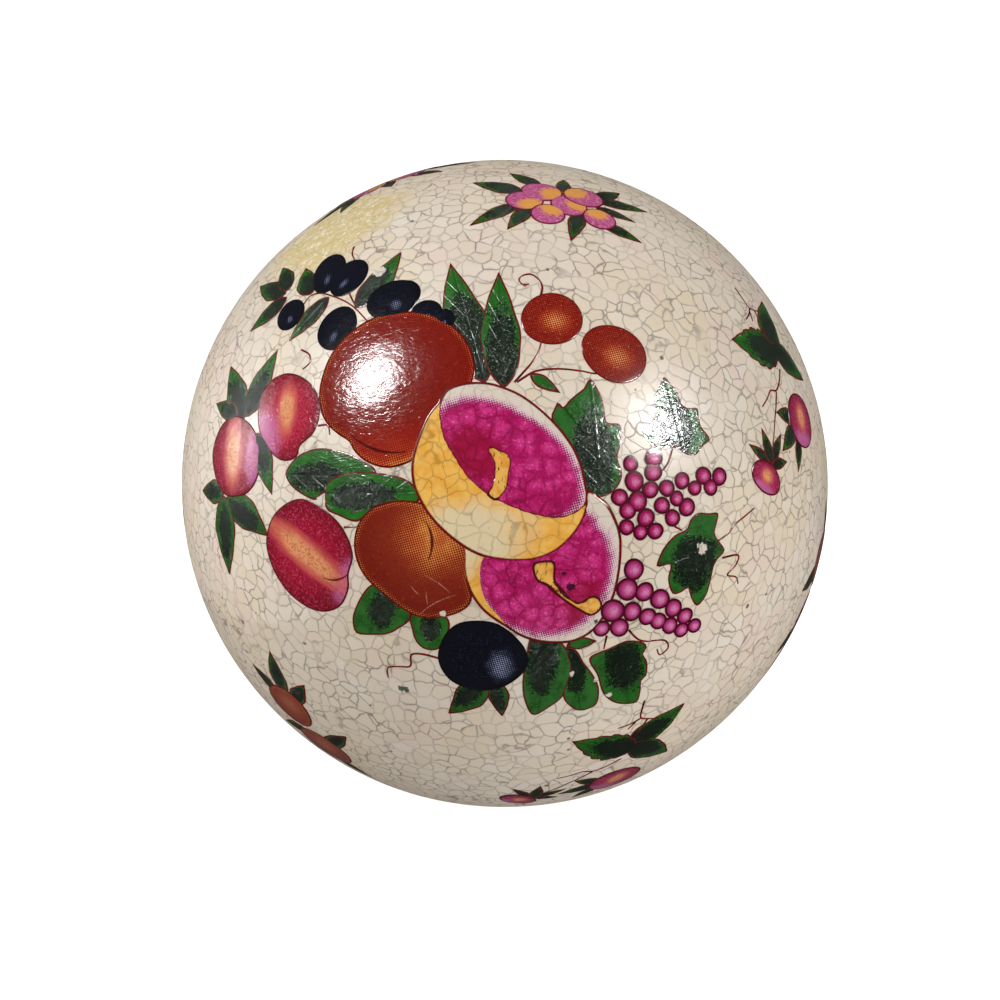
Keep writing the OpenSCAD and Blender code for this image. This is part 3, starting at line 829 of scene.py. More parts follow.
@dataclass(frozen=True)
class GlazeFinish:
    """Cream crackle glaze, with kiln specks, warm and cool drifts and one stained patch that holds painted
    glints.

    Attributes:
        name: The material's name.
        crackle: Its cracks.
    """

    name: str = "cream_glaze"
    crackle: Crackle = field(default_factory=Crackle)

    def body(self, kit: Kit, place: object) -> tuple[object, Value, Value]:
        """Paints the bare glaze.

        Args:
            kit: The material being built.
            place: The place in millimetres.

        Returns:
            Its colour, its cracks and its cell tones.
        """
        line, tone, _ = self.crackle.nets(kit, place)
        warm = kit.noise(place, 14.0, 2.0).smooth(0.35, 0.7)
        pink = kit.noise(place, 9.0, 2.0, 0.5, 0.6).smooth(0.48, 0.72)
        colour = kit.mix(CREAM, srgb(234, 216, 186), warm * 0.7)
        colour = kit.mix(colour, srgb(236, 212, 200), pink * 0.6)
        colour = kit.mix(colour, srgb(246, 238, 226), tone.smooth(0.6, 1.0) * 0.3)
        colour = kit.mix(colour, srgb(222, 206, 184), tone.smooth(0.35, 0.0) * 0.3)
        mottle = kit.noise(place, 0.8, 3.0, 0.65)
        colour = kit.mix(colour, srgb(208, 190, 168), mottle.smooth(0.55, 0.8) * 0.3)
        colour = kit.mix(colour, srgb(116, 98, 82), line * 0.76)
        specks = kit.node("ShaderNodeTexVoronoi", {"feature": "F1"}, {"Vector": place, "Scale": 0.34})
        pick = kit.node("ShaderNodeSeparateColor", None, {0: specks.outputs["Color"]})
        size = (Value(kit, pick.outputs[0]) - 0.52).most(0.0) * 0.3
        dot = (size - Value(kit, specks.outputs["Distance"]) + (mottle - 0.5) * 0.05).smooth(0.0, 0.02)
        hue = kit.mix(srgb(46, 44, 30), srgb(110, 50, 28), Value(kit, pick.outputs[1]))
        return kit.mix(colour, hue, dot * 0.8), line, tone

    def build(self) -> bpy.types.Material:
        """Returns the finished material."""
        kit = Kit(self.name)
        place = kit.place()
        colour, line, tone = self.body(kit, place)
        patch = Sheet(Side.FRONT)
        spot = patch.lay(patch.matrix(), -30.0, 43.5, 0.0) / MM
        away = kit.node("ShaderNodeVectorMath", {"operation": "DISTANCE"}, {0: place, 1: tuple(spot)})
        grain = kit.noise(place, 0.9, 4.0, 0.75)
        ragged = (kit.noise(place, 5.0, 3.0) - 0.5) * 14.0
        stain = (Value(kit, away.outputs["Value"]) + ragged).smooth(12.0, 7.0)
        colour = kit.mix(colour, srgb(214, 190, 118), stain * grain.smooth(0.25, 0.55) * 0.85)
        # Painted highlight: near-white flecks in the stained patch stand in for glints of light; the same
        # mask also roughens the bump there.
        relief_and_painted_glints = kit.noise(place, 1.3, 4.0, 0.8, 1.5)
        colour = kit.mix(colour, srgb(252, 246, 226), stain * relief_and_painted_glints.smooth(0.54, 0.62) * 0.85)
        colour = kit.mix(colour, srgb(128, 104, 66), stain * grain.smooth(0.6, 0.8) * 0.7)
        blot = patch.lay(patch.matrix(), -14.4, -29.2, 0.0) / MM
        apart = kit.node("ShaderNodeVectorMath", {"operation": "DISTANCE"}, {0: place, 1: tuple(blot)})
        frayed = (kit.noise(place, 0.7, 3.0, 0.7) - 0.5) * 2.4
        mark = (Value(kit, apart.outputs["Value"]) + frayed).smooth(0.65, 0.45)
        colour = kit.mix(colour, srgb(40, 66, 34), mark * 0.9)
        orange = kit.noise(place, 1.1, 1.0, 0.5)
        height = (0.6 * orange + 0.34 * kit.noise(place, 0.5, 1.0) + tone * 0.1 - line * 0.4
                  + stain * (grain * 1.4 + relief_and_painted_glints * 1.6))
        rough = 0.28 + 0.12 * kit.noise(place, 2.0, 3.0) + line * 0.15 + stain * 0.25
        return kit.surface(colour, rough, height, 0.04, specular=0.25)


@dataclass(frozen=True)
class Print:
    """A fired colour film; each kind paints its own colour.

    Attributes:
        name: The material's name.
        crack: How strongly the cracks show through it.
        rim: Width of its printed outline in millimetres, 0 for none.
        rim_colour: Colour of the outline.
        wrinkle: Height of the film's ripples in millimetres.
        ripple: Size of the ripples in millimetres.
        gloss: Its lowest roughness.
        chips: Worn-through spots: sheet place and size in millimetres.
        smudges: Dark burnt spots, in the same way.
        scratches: Pale scratches: middle, centre of the curve and reach.
    """

    name: str = "print"
    crack: float = 0.25
    rim: float = 0.3
    rim_colour: Colour = OUTLINE
    wrinkle: float = 0.009
    ripple: float = 0.72
    gloss: float = 0.12
    chips: tuple[tuple[float, float, float], ...] = ()
    smudges: tuple[tuple[float, float, float], ...] = ()
    scratches: tuple[tuple[Point, Point, float], ...] = ()

    def paint(self, kit: Kit, place: object) -> tuple[object, Value | float]:
        """Returns the film's own colour and the relief that it adds."""
        return kit.mix(OUTLINE, OUTLINE, 0.0), 0.0

    def ellipse(self, own: tuple[Value, Value], x: float, y: float, a: float, b: float) -> Value:
        """Returns how far a point is from an oval's middle, 1 on the oval itself.

        Args:
            own: The point.
            x: The middle, across.
            y: The middle, up.
            a: Half width.
            b: Half height.
        """
        u, v = (own[0] - x) * (1 / a), (own[1] - y) * (1 / b)
        return (u * u + v * v) ** 0.5

    def halftone(self, kit: Kit, tone: Value, pitch: float = 0.30) -> Value:
        """Turns a tone into printed dots.

        Args:
            kit: The material being built.
            tone: Ink wanted, 0 to 1.
            pitch: Distance between dots in millimetres.

        Returns:
            Ink, 0 or 1 with a soft edge.
        """
        x, y = kit.pair("sheet", 100.0 * math.tau / pitch)
        c, s = math.cos(math.radians(16)), math.sin(math.radians(16))
        wave = ((x * c + y * s).cosine() + (y * c - x * s).cosine()) * 0.25 + 0.5
        return (tone - wave).smooth(-0.14, 0.14)

    def arc(self, at: tuple[Value, Value], middle: Point, centre: Point, reach: float, width: float) -> Value:
        """Draws a short curved crease.

        Args:
            at: The point on the sheet, in millimetres.
            middle: The middle of the crease.
            centre: The centre of its curve.
            reach: How far it runs from its middle.
            width: Its width.

        Returns:
            How much of the crease there is.
        """
        dx, dy = at[0] - centre[0], at[1] - centre[1]
        off = abs((dx * dx + dy * dy) ** 0.5 - math.dist(middle, centre))
        ex, ey = at[0] - middle[0], at[1] - middle[1]
        along = (ex * ex + ey * ey) ** 0.5
        stroke = (off + along * (width * 0.4 / reach)).smooth(width * 0.75, width * 0.3)
        return stroke * along.smooth(reach, reach * 0.8)

    def build(self) -> bpy.types.Material:
        """Returns the finished material."""
        kit = Kit(self.name)
        place = kit.place()
        line, _, _ = Crackle().nets(kit, place)
        colour, relief = self.paint(kit, place)
        grain = kit.noise(place, 0.3, 3.0, 0.7)
        if self.rim:
            edge = kit.attribute("edge") + (grain - 0.5) * 0.14
            colour = kit.mix(colour, self.rim_colour, edge.smooth(self.rim * 1.25, self.rim * 0.8))
        if self.crack:
            dark = kit.mix((1.0, 1.0, 1.0), srgb(150, 128, 112), line * self.crack)
            colour = kit.mix(colour, dark, 1.0, "MULTIPLY")
        bend = kit.node("ShaderNodeVectorMath", {"operation": "MULTIPLY"}, {0: place, 1: (0.6, 1.0, 1.3)})
        ripple = kit.noise(bend.outputs[0], self.ripple, 1.0, 0.4, 1.0)
        height = ripple + 2.0 * kit.noise(place, 2.6, 1.0) - line * 0.4 * (0.3 + self.crack) + relief
        rough = self.gloss + 0.08 * kit.noise(place, 1.1, 2.0)
        if self.smudges:
            colour = kit.mix(colour, srgb(24, 10, 14), self.spots(kit, place, self.smudges) * 0.9)
        for middle, centre, reach in self.scratches:
            scratch = self.arc(kit.pair("sheet", 100.0), middle, centre, reach, 0.17)
            colour = kit.mix(colour, srgb(216, 150, 130), scratch * grain.smooth(0.4, 0.52) * 0.6)
        if self.chips:
            worn = self.spots(kit, place, self.chips)
            bare = kit.mix(CREAM, srgb(122, 104, 92), line * 0.6)
            colour = kit.mix(colour, bare, worn)
            height = height - 1.5 * worn
        return kit.surface(colour, rough, height, self.wrinkle)

    def spots(self, kit: Kit, place: object, table: tuple[tuple[float, float, float], ...]) -> Value:
        """Draws ragged spots.

        Args:
            kit: The material being built.
            place: The place in millimetres.
            table: Sheet place and size of each.

        Returns:
            How much of a spot there is.
        """
        x, y = kit.pair("sheet", 100.0)
        ragged = (kit.noise(place, 0.9, 3.0, 0.75) - 0.5) * 3.2
        found: Value | None = None
        for cx, cy, size in table:
            u, v = x - cx, y - cy
            one = ((u * u + v * v) ** 0.5 + ragged * min(1.0, size)).smooth(size, size * 0.8)
            found = one if found is None else found.most(one)
        return found


@dataclass(frozen=True)
class LeafPrint(Print):
    """Green, scribbled over with black in one part, with raised veins.

    Attributes:
        green: Its colour.
        black: Middle and half sizes of the black part, in the leaf's own frame.
        ribs: Pairs of side veins.
    """

    name: str = "leaf_print"
    crack: float = 0.1
    rim: float = 0.26
    wrinkle: float = 0.056
    ripple: float = 0.62
    gloss: float = 0.19
    green: Colour = srgb(34, 116, 20)
    black: tuple[float, float, float, float] = (0.22, 0.0, 0.48, 0.8)
    ribs: float = 5.0

    def paint(self, kit: Kit, place: object) -> tuple[object, Value | float]:
        """Returns the leaf's colour and relief."""
        own = kit.pair("own")
        s, wide = own[0], abs(own[1])
        soft = kit.noise(place, 2.2, 2.0)
        fine = kit.noise(place, 0.3, 3.0, 0.75)
        worm = abs(kit.noise(place, 0.75, 2.0, 0.6, 2.0) - 0.5).smooth(0.0, 0.035)
        colour = kit.mix(self.green, srgb(20, 84, 14), soft.smooth(0.4, 0.7))
        colour = kit.mix(colour, srgb(84, 150, 56), (fine * 0.6 + soft * 0.4).smooth(0.54, 0.68) * 0.5)
        near = self.ellipse(own, *self.black) + (soft - 0.5) * 1.0 + (fine - 0.5) * 1.3
        cover = near.smooth(1.1, 0.95)
        scribble = 1.0 - (1.0 - worm) * (0.3 + 0.45 * near.smooth(0.3, 1.0)) - fine.smooth(0.6, 0.72) * 0.4
        ribs = abs(((s - wide * 0.34) * (self.ribs * math.pi)).cosine())
        vein = wide.smooth(0.07, 0.02).most(ribs.smooth(0.12, 0.03) * wide.smooth(0.8, 0.5) * 0.7)
        colour = kit.mix(colour, srgb(12, 40, 12), vein * 0.35)
        relief = vein * 0.32 + (1.0 - worm) * cover * 0.5
        return kit.mix(colour, srgb(6, 13, 8), cover * scribble.most(0.0) * 0.97), relief


@dataclass(frozen=True)
class PeachPrint(Print):
    """Red over orange in printed dots, with a glowing part and a crease.

    Attributes:
        glow: Middle and half sizes of the glowing part, in the fruit's own frame.
        crease: Middle and centre of the crease's curve on the sheet, and its reach, or None.
        red: The dots' colour.
        ground: The colour under them.
        least: Ink in the middle of the glow.
    """

    name: str = "peach_print"
    crack: float = 0.06
    rim: float = 0.24
    wrinkle: float = 0.032
    ripple: float = 0.56
    gloss: float = 0.06
    least: float = 0.74
    glow: tuple[float, float, float, float] = (0.3, -0.35, 0.6, 0.55)
    crease: tuple[Point, Point, float] | None = None
    red: Colour = srgb(158, 30, 12)
    ground: Colour = srgb(240, 160, 74)

    def paint(self, kit: Kit, place: object) -> tuple[object, Value | float]:
        """Returns the peach's colour and relief."""
        own = kit.pair("own")
        near = self.ellipse(own, *self.glow)
        cloud = kit.noise(place, 3.0, 3.0, 0.6)
        fleck = kit.noise(place, 0.4, 3.0, 0.75)
        edge = kit.attribute("edge")
        ink = near.smooth(0.2, 1.5) * (1.05 - self.least) + self.least
        ink = ink + (cloud - 0.5) * 0.2 - edge.smooth(1.1, 0.3) * 0.26
        dots = self.halftone(kit, ink)
        red = kit.mix(self.red, srgb(110, 14, 8), near.smooth(0.9, 2.4) * 0.6)
        red = kit.mix(red, srgb(96, 8, 4), fleck.smooth(0.56, 0.7) * 0.6)
        red = kit.mix(red, srgb(196, 70, 44), fleck.smooth(0.4, 0.32) * 0.5)
        ground = kit.mix(self.ground, srgb(222, 120, 58), cloud.smooth(0.4, 0.65))
        colour = kit.mix(ground, red, dots)
        if self.crease is None:
            return colour, dots * 0.1
        line = self.arc(kit.pair("sheet", 100.0), *self.crease, 0.42)
        return kit.mix(colour, srgb(78, 6, 3), line * 0.95), dots * 0.1 - line * 0.1


@dataclass(frozen=True)
class MelonSkinPrint(Print):
    """Golden skin, fading to bare cream along the belly.

    Attributes:
        pale: Middle and half sizes of the fading part, in the melon's own frame.
    """

    name: str = "melon_skin_print"
    crack: float = 0.5
    rim: float = 0.36
    rim_colour: Colour = srgb(120, 14, 12)
    wrinkle: float = 0.008
    pale: tuple[float, float, float, float] = (-0.35, -0.72, 0.62, 0.36)

    def paint(self, kit: Kit, place: object) -> tuple[object, Value | float]:
        """Returns the skin's colour and relief."""
        own = kit.pair("own")
        _, tone, _ = Crackle().nets(kit, place)
        near = self.ellipse(own, *self.pale) + (kit.noise(place, 2.0, 2.0) - 0.5) * 0.5 + (tone - 0.5) * 0.3
        gold = kit.mix(srgb(255, 200, 98), srgb(250, 182, 74), kit.noise(place, 1.6, 2.0).smooth(0.35, 0.65))
        colour = kit.mix(gold, srgb(240, 220, 178), near.smooth(1.5, 0.5))
        fleck = kit.noise(place, 0.3, 2.0, 0.7)
        colour = kit.mix(colour, srgb(222, 138, 44), kit.noise(place, 0.7, 3.0, 0.7).smooth(0.54, 0.74) * 0.2)
        return kit.mix(colour, srgb(96, 48, 16), fleck.smooth(0.68, 0.74) * 0.8), 0.0


@dataclass(frozen=True)
class FleshPrint(Print):
    """Magenta flesh in soft cells, crimson where it is deep, printed out to a cream rind in dots.

    Attributes:
        magenta: Middle and half sizes of the magenta, in the cut's own frame.
        deep: Middle and half sizes of the crimson part.
    """

    name: str = "flesh_print"
    crack: float = 0.35
    rim: float = 0.28
    rim_colour: Colour = srgb(112, 10, 16)
    wrinkle: float = 0.01
    magenta: tuple[float, float, float, float] = (0.03, -0.25, 0.93, 0.98)
    deep: tuple[float, float, float, float] = (-0.1, -0.5, 0.5, 0.5)

    def paint(self, kit: Kit, place: object) -> tuple[object, Value | float]:
        """Returns the flesh's colour and relief."""
        own = kit.pair("own")
        line, tone, heart = Crackle().nets(kit, place)
        fleck = kit.noise(place, 0.34, 3.0, 0.75)
        blob = kit.noise(place, 0.9, 3.0, 0.65)
        core = (heart + (blob - 0.5) * 1.1).smooth(0.66, 0.12)
        colour = kit.mix(srgb(188, 16, 98), srgb(228, 58, 146), core * 0.75)
        colour = kit.mix(colour, srgb(240, 132, 190), fleck.smooth(0.56, 0.68) * (core * 0.5 + 0.2))
        colour = kit.mix(colour, srgb(128, 4, 62), fleck.smooth(0.44, 0.32) * 0.75)
        colour = kit.mix(colour, srgb(112, 2, 54), line * 0.42)
        depth = self.ellipse(own, *self.deep) + (fleck - 0.5) * 0.9
        colour = kit.mix(colour, srgb(158, 2, 44), depth.smooth(1.3, 0.6) * 0.75)
        out = self.ellipse(own, *self.magenta) + (tone - 0.5) * 0.04 + (blob - 0.5) * 0.1
        dots = self.halftone(kit, out.smooth(1.13, 0.88) * 1.15 + (fleck - 0.5) * 0.5)
        ink = kit.mix(srgb(168, 36, 118), colour, out.smooth(1.02, 0.9))
        rind = kit.mix(srgb(234, 222, 206), srgb(234, 186, 202), out.smooth(1.18, 0.94))
        return kit.mix(rind, ink, dots), dots * 0.2


@dataclass(frozen=True)
class StalkPrint(Print):
    """Golden seed stalk with short dark dashes."""

    name: str = "stalk_print"
    crack: float = 0.3
    rim: float = 0.3
    rim_colour: Colour = srgb(84, 8, 18)

    def paint(self, kit: Kit, place: object) -> tuple[object, Value | float]:
        """Returns the stalk's colour and relief."""
        x, y = kit.pair("sheet", 100.0)
        colour = kit.mix(srgb(250, 190, 92), srgb(238, 160, 60), kit.noise(place, 1.2, 2.0).smooth(0.4, 0.65))
        where = kit.node("ShaderNodeCombineXYZ", None, {0: x * 2.6, 1: y * 0.75, 2: 0.0})
        dash = kit.noise(where.outputs[0], 0.8, 1.0).smooth(0.64, 0.69)
        return kit.mix(colour, srgb(50, 14, 8), dash * 0.92), 1.0 - dash


@dataclass(frozen=True)
class PlumPrint(Print):
    """Crimson plum with a soft golden stripe and a paler side, which is a painted highlight.

    Attributes:
        stripe: Middle and half sizes of the stripe in the fruit's own frame.
        painted_sheen: Middle and half sizes of the pale side, a painted highlight standing in for the sheen
            of a light.
        skin: Its main colour.
        crease: Middle and centre of the crease's curve on the sheet, and its reach, or None.
    """

    name: str = "plum_print"
    crack: float = 0.2
    rim: float = 0.22
    rim_colour: Colour = srgb(96, 4, 18)
    wrinkle: float = 0.05
    ripple: float = 0.5
    gloss: float = 0.12
    stripe: tuple[float, float, float, float] = (0.0, 0.05, 0.34, 0.8)
    painted_sheen: tuple[float, float, float, float] = (-0.75, -0.2, 0.5, 0.9)
    skin: Colour = srgb(182, 18, 50)
    crease: tuple[Point, Point, float] | None = None

    def paint(self, kit: Kit, place: object) -> tuple[object, Value | float]:
        """Returns the plum's colour and relief."""
        own = kit.pair("own")
        where = kit.node("ShaderNodeCombineXYZ", None,
                         {0: own[0] * 9.0, 1: own[1] * 2.6, 2: kit.attribute("seed") * 9.0})
        streak = kit.noise(where.outputs[0], 1.0, 3.0, 0.65)
        fleck = kit.noise(place, 0.32, 3.0, 0.75)
        colour = kit.mix(self.skin, srgb(120, 4, 24), self.ellipse(own, 0, 0, 1, 1).smooth(0.5, 1.0) * 0.8)
        colour = kit.mix(colour, srgb(218, 84, 124), fleck.smooth(0.5, 0.66) * 0.6)
        colour = kit.mix(colour, srgb(104, 2, 20), fleck.smooth(0.45, 0.33) * 0.7)
        # Painted highlight: the speckled pale pink-violet side stands in for a light's sheen on the skin.
        pale = self.ellipse(own, *self.painted_sheen) + (streak - 0.5) * 0.9 + (fleck - 0.5) * 1.7
        colour = kit.mix(colour, srgb(214, 120, 180), pale.smooth(1.1, 0.5) * 0.65)
        gold = self.ellipse(own, *self.stripe) + (streak - 0.5) * 0.7 + (fleck - 0.5) * 1.1
        colour = kit.mix(colour, srgb(222, 104, 88), gold.smooth(1.7, 1.05) * 0.7)
        speckled = 0.9 - fleck.smooth(0.54, 0.38) * 0.7
        colour = kit.mix(colour, srgb(238, 172, 112), gold.smooth(1.2, 0.6) * speckled)
        if self.crease is None:
            return colour, 0.0
        line = self.arc(kit.pair("sheet", 100.0), *self.crease, 0.36)
        return kit.mix(colour, srgb(84, 2, 14), line * 0.9), -0.3 * line


@dataclass(frozen=True)
class BluePrint(Print):
    """Blue-black plum with a bloom printed in fine dots.

    Attributes:
        bloom: Middle and half sizes of the bloom in the fruit's own frame.
        light: Strength of the bloom.
    """

    name: str = "blue_print"
    crack: float = 0.0
    rim: float = 0.26
    rim_colour: Colour = srgb(8, 9, 16)
    wrinkle: float = 0.026
    ripple: float = 0.5
    gloss: float = 0.08
    bloom: tuple[float, float, float, float] = (0.42, -0.25, 0.28, 0.44)
    light: float = 0.66

    def paint(self, kit: Kit, place: object) -> tuple[object, Value | float]:
        """Returns the plum's colour and relief."""
        own = kit.pair("own")
        fleck = kit.noise(place, 0.34, 3.0, 0.75)
        colour = kit.mix(srgb(10, 11, 22), srgb(26, 31, 56), fleck.smooth(0.48, 0.66) * 0.8)
        colour = kit.mix(colour, srgb(14, 14, 24), self.ellipse(own, 0, 0, 1, 1).smooth(0.6, 0.95) * 0.6)
        near = self.ellipse(own, *self.bloom) + (kit.noise(place, 1.4, 2.0) - 0.5) * 0.9
        dots = self.halftone(kit, near.smooth(1.5, 0.0) * 0.45 + (fleck - 0.5) * 0.7)
        colour = kit.mix(colour, srgb(70, 80, 122), near.smooth(1.4, 0.2) * self.light * 0.6)
        return kit.mix(colour, srgb(176, 186, 214), dots * near.smooth(1.4, 0.5) * self.light), fleck * 0.1


@dataclass(frozen=True)
class CherryPrint(Print):
    """Red-brown cherry with a small golden glow in printed dots and pin-pricks of light."""

    name: str = "cherry_print"
    crack: float = 0.08
    rim: float = 0.18
    rim_colour: Colour = srgb(112, 14, 6)
    wrinkle: float = 0.016
    glow: tuple[float, float, float, float] = (0.1, -0.1, 0.42, 0.36)

    def paint(self, kit: Kit, place: object) -> tuple[object, Value | float]:
        """Returns the cherry's colour and relief."""
        own = kit.pair("own")
        near = self.ellipse(own, *self.glow)
        fleck = kit.noise(place, 0.3, 2.0, 0.75)
        dots = self.halftone(kit, near.smooth(0.0, 1.5) * 0.45 + 0.55 + (fleck - 0.5) * 0.4)
        red = kit.mix(srgb(166, 42, 18), srgb(138, 22, 10), near.smooth(0.6, 1.8))
        red = kit.mix(red, srgb(92, 8, 4), fleck.smooth(0.56, 0.68) * 0.65)
        colour = kit.mix(srgb(238, 168, 98), red, dots)
        return kit.mix(colour, srgb(232, 164, 134), fleck.smooth(0.34, 0.27) * 0.75), dots * 0.1


@dataclass(frozen=True)
class GrapePrint(Print):
    """Magenta berry, lighter in the middle and dark at its rim.

    Attributes:
        core: Colour of the middle.
        skin: Its main colour.
        core_at: Middle and half sizes of the lighter part, in the berry's own frame.
    """

    name: str = "grape_print"
    crack: float = 0.08
    rim: float = 0.3
    rim_colour: Colour = srgb(84, 0, 26)
    core: Colour = srgb(232, 140, 190)
    skin: Colour = srgb(180, 24, 100)
    core_at: tuple[float, float, float, float] = (0.1, -0.05, 0.6, 0.6)

    def paint(self, kit: Kit, place: object) -> tuple[object, Value | float]:
        """Returns the berry's colour and relief."""
        own = kit.pair("own")
        near = self.ellipse(own, *self.core_at)
        fleck = kit.noise(place, 0.28, 3.0, 0.75)
        colour = kit.mix(self.skin, srgb(112, 2, 52), self.ellipse(own, 0, 0, 1, 1).smooth(0.45, 0.9) * 0.9)
        colour = kit.mix(colour, srgb(110, 4, 54), fleck.smooth(0.46, 0.34) * 0.65)
        return kit.mix(colour, self.core, (near + (fleck - 0.5) * 1.8).smooth(1.0, 0.1) * 0.75), 0.0


@dataclass(frozen=True)
class BerryPrint(Print):
    """Pink above and golden below, with a crimson line round it.

    Attributes:
        upper: Colour of the upper part.
        lower: Colour of the lower part.
        gold: Middle and half sizes of the golden part, in the berry's own frame.
    """

    name: str = "berry_print"
    crack: float = 0.1
    rim: float = 0.22
    rim_colour: Colour = srgb(118, 10, 44)
    upper: Colour = srgb(202, 98, 150)
    lower: Colour = srgb(238, 166, 84)
    gold: tuple[float, float, float, float] = (0.3, -0.5, 0.75, 0.7)

    def paint(self, kit: Kit, place: object) -> tuple[object, Value | float]:
        """Returns the berry's colour and relief."""
        own = kit.pair("own")
        fleck = kit.noise(place, 0.4, 2.0, 0.7)
        near = self.ellipse(own, *self.gold) + (fleck - 0.5) * 0.9
        colour = kit.mix(self.upper, srgb(160, 34, 92), fleck.smooth(0.5, 0.7) * 0.7)
        colour = kit.mix(colour, srgb(238, 190, 206), fleck.smooth(0.42, 0.3) * 0.6)
        return kit.mix(colour, self.lower, near.smooth(1.2, 0.6)), 0.0


@dataclass(frozen=True)
class LinePrint(Print):
    """Dark red drawn line."""

    name: str = "line_print"
    crack: float = 0.1
    rim: float = 0.0
    wrinkle: float = 0.006
    ink: Colour = srgb(130, 22, 12)

    def paint(self, kit: Kit, place: object) -> tuple[object, Value | float]:
        """Returns the line's colour and relief."""
        return kit.mix(self.ink, srgb(84, 14, 8), kit.noise(place, 1.2, 2.0).smooth(0.4, 0.65)), 0.0


# ---------------------------------------------------------------- the glaze


@dataclass(frozen=True)
class GlazeCoat:
    """The glaze, fired right round the ball and down into the vent, in four lunes that meet edge to edge.

    Attributes:
        sectors: How many lunes.
        across: Cells across a lune.
        rings: Cells from the top to the vent.
    """

    sectors: int = 4
    across: int = 36
    rings: int = 88

    def _point(self, d: Vector, deep: float) -> Vector:
        """Returns the point of the glaze under a direction, deep millimetres in."""
        return d * ((BALL_R + swell(d) * (1.0 if deep == 0 else 0.0) - deep) * MM)

    def _normal(self, d: Vector) -> Vector:
        """Returns the outward normal of the glaze under a direction."""
        side = d.orthogonal().normalized()
        other = d.cross(side)
        a, b = (self._point((d + t * 1e-3).normalized(), 0) - self._point((d - t * 1e-3).normalized(), 0)
                for t in (side, other))
        n = a.cross(b).normalized()
        return n if n.dot(d) > 0 else -n

    def lune(self, index: int, material: bpy.types.Material) -> bpy.types.Object:
        """Builds one lune: a spun arc, thickened inwards.

        Args:
            index: Its number.
            material: Its finish.

        Returns:
            The piece.
        """
        span = math.tau / self.sectors
        start = index * span - math.pi / 4
        end = math.pi - math.asin(VENT_R / BALL_R)
        bm = bmesh.new()
        arc = []
        for i in range(self.rings + 1):
            t = end * i / self.rings
            arc.append(bm.verts.new((math.sin(t), 0, math.cos(t))))
        edges = [bm.edges.new(pair) for pair in zip(arc, arc[1:])]
        bmesh.ops.rotate(bm, verts=arc, cent=(0, 0, 0), matrix=Matrix.Rotation(start, 3, "Z"))
        bmesh.ops.spin(bm, geom=arc + edges, cent=(0, 0, 0), axis=(0, 0, 1), angle=span, steps=self.across)
        bmesh.ops.remove_doubles(bm, verts=bm.verts, dist=1e-6)
        bmesh.ops.recalc_face_normals(bm, faces=bm.faces)
        outer = {tuple(round(c, 5) for c in v.co): True for v in bm.verts}
        if sum(f.normal.dot(f.calc_center_median()) for f in bm.faces) < 0:
            bmesh.ops.reverse_faces(bm, faces=bm.faces)
        bmesh.ops.solidify(bm, geom=bm.faces, thickness=GLAZE_T / BALL_R)
        skin = {v: tuple(round(c, 5) for c in v.co) in outer for v in bm.verts}
        middle = start + span / 2
        bake = bm.loops.layers.uv.new("OFBake")
        for face in bm.faces:
            face.smooth = all(skin[v] for v in face.verts) or not any(skin[v] for v in face.verts)
            shown = all(skin[v] for v in face.verts)
            here = face.calc_center_median()
            for loop in face.loops:
                d = loop.vert.co.normalized()
                if shown:
                    lat = math.asin(max(-1.0, min(1.0, d.z)))
                    lon = math.atan2(d.y, d.x) if math.hypot(d.x, d.y) > 1e-4 else math.atan2(here.y, here.x)
                    lon = (lon - middle + math.pi) % math.tau - math.pi
                    u, v = lon * math.cos(lat) / math.pi * 0.97, lat / math.pi * 0.97
                    loop[bake].uv = (0.5 + v + u, 0.5 + v - u)
                else:
                    loop[bake].uv = (0.93 + 0.03 * d.x, 0.07 + 0.03 * d.y)
        for v in bm.verts:
            d = v.co.normalized()
            v.co = self._point(d, 0.0 if skin[v] else GLAZE_T)
        piece = finish_piece(f"glaze_lune_{index + 1}", bm, material)
        mesh = piece.data
        normals = []
        for poly in mesh.polygons:
            for i in poly.loop_indices:
                d = mesh.vertices[mesh.loops[i].vertex_index].co.normalized()
                wall = abs(poly.normal.dot(d)) < 0.5
                facing = 1 if poly.normal.dot(d) > 0 else -1
                normals.append(poly.normal if wall else self._normal(d) * facing)
        mesh.normals_split_custom_set([tuple(n) for n in normals])
        return piece


# ---------------------------------------------------------------- the printed drawings


@dataclass(frozen=True)
class Printed:
    """A finished piece with the node it replaces and the slot of its finish."""

    piece: bpy.types.Object
    node: str
    slot: str


class Transfer:
    """What one sheet carries; each kind says how it lies and what is drawn on it."""

    side: Side

    def sheet(self) -> Sheet:
        """Returns the sheet that it is drawn on."""
        return Sheet(self.side)

    def films(self) -> list[Drawn]:
        """Returns its films: name, node, finish and patches."""
        return []

    def lines(self) -> tuple[str, str, Paths] | None:
        """Returns its drawn lines: name, node and paths, or None."""
        return None

    def build(self, finishes: dict[str, bpy.types.Material]) -> list[Printed]:
        """Builds the transfer.

        Args:
            finishes: Materials by name.

        Returns:
            Its pieces.
        """
        sheet, tag, lines = self.sheet(), self.side.name.lower(), self.lines()
        made = []
        for name, node, finish, patches in self.films():
            piece = Film(f"{tag}_{name}", sheet, patches).build(finishes[finish])
            made.append(Printed(piece, f"{tag}_{node}", SLOTS[finish]))
        if lines:
            name, node, paths = lines
            piece = Lines(f"{tag}_{name}", sheet, [list(path) for path in paths]).build(finishes["line"])
            made.append(Printed(piece, f"{tag}_{node}", SLOTS["line"]))
        return made


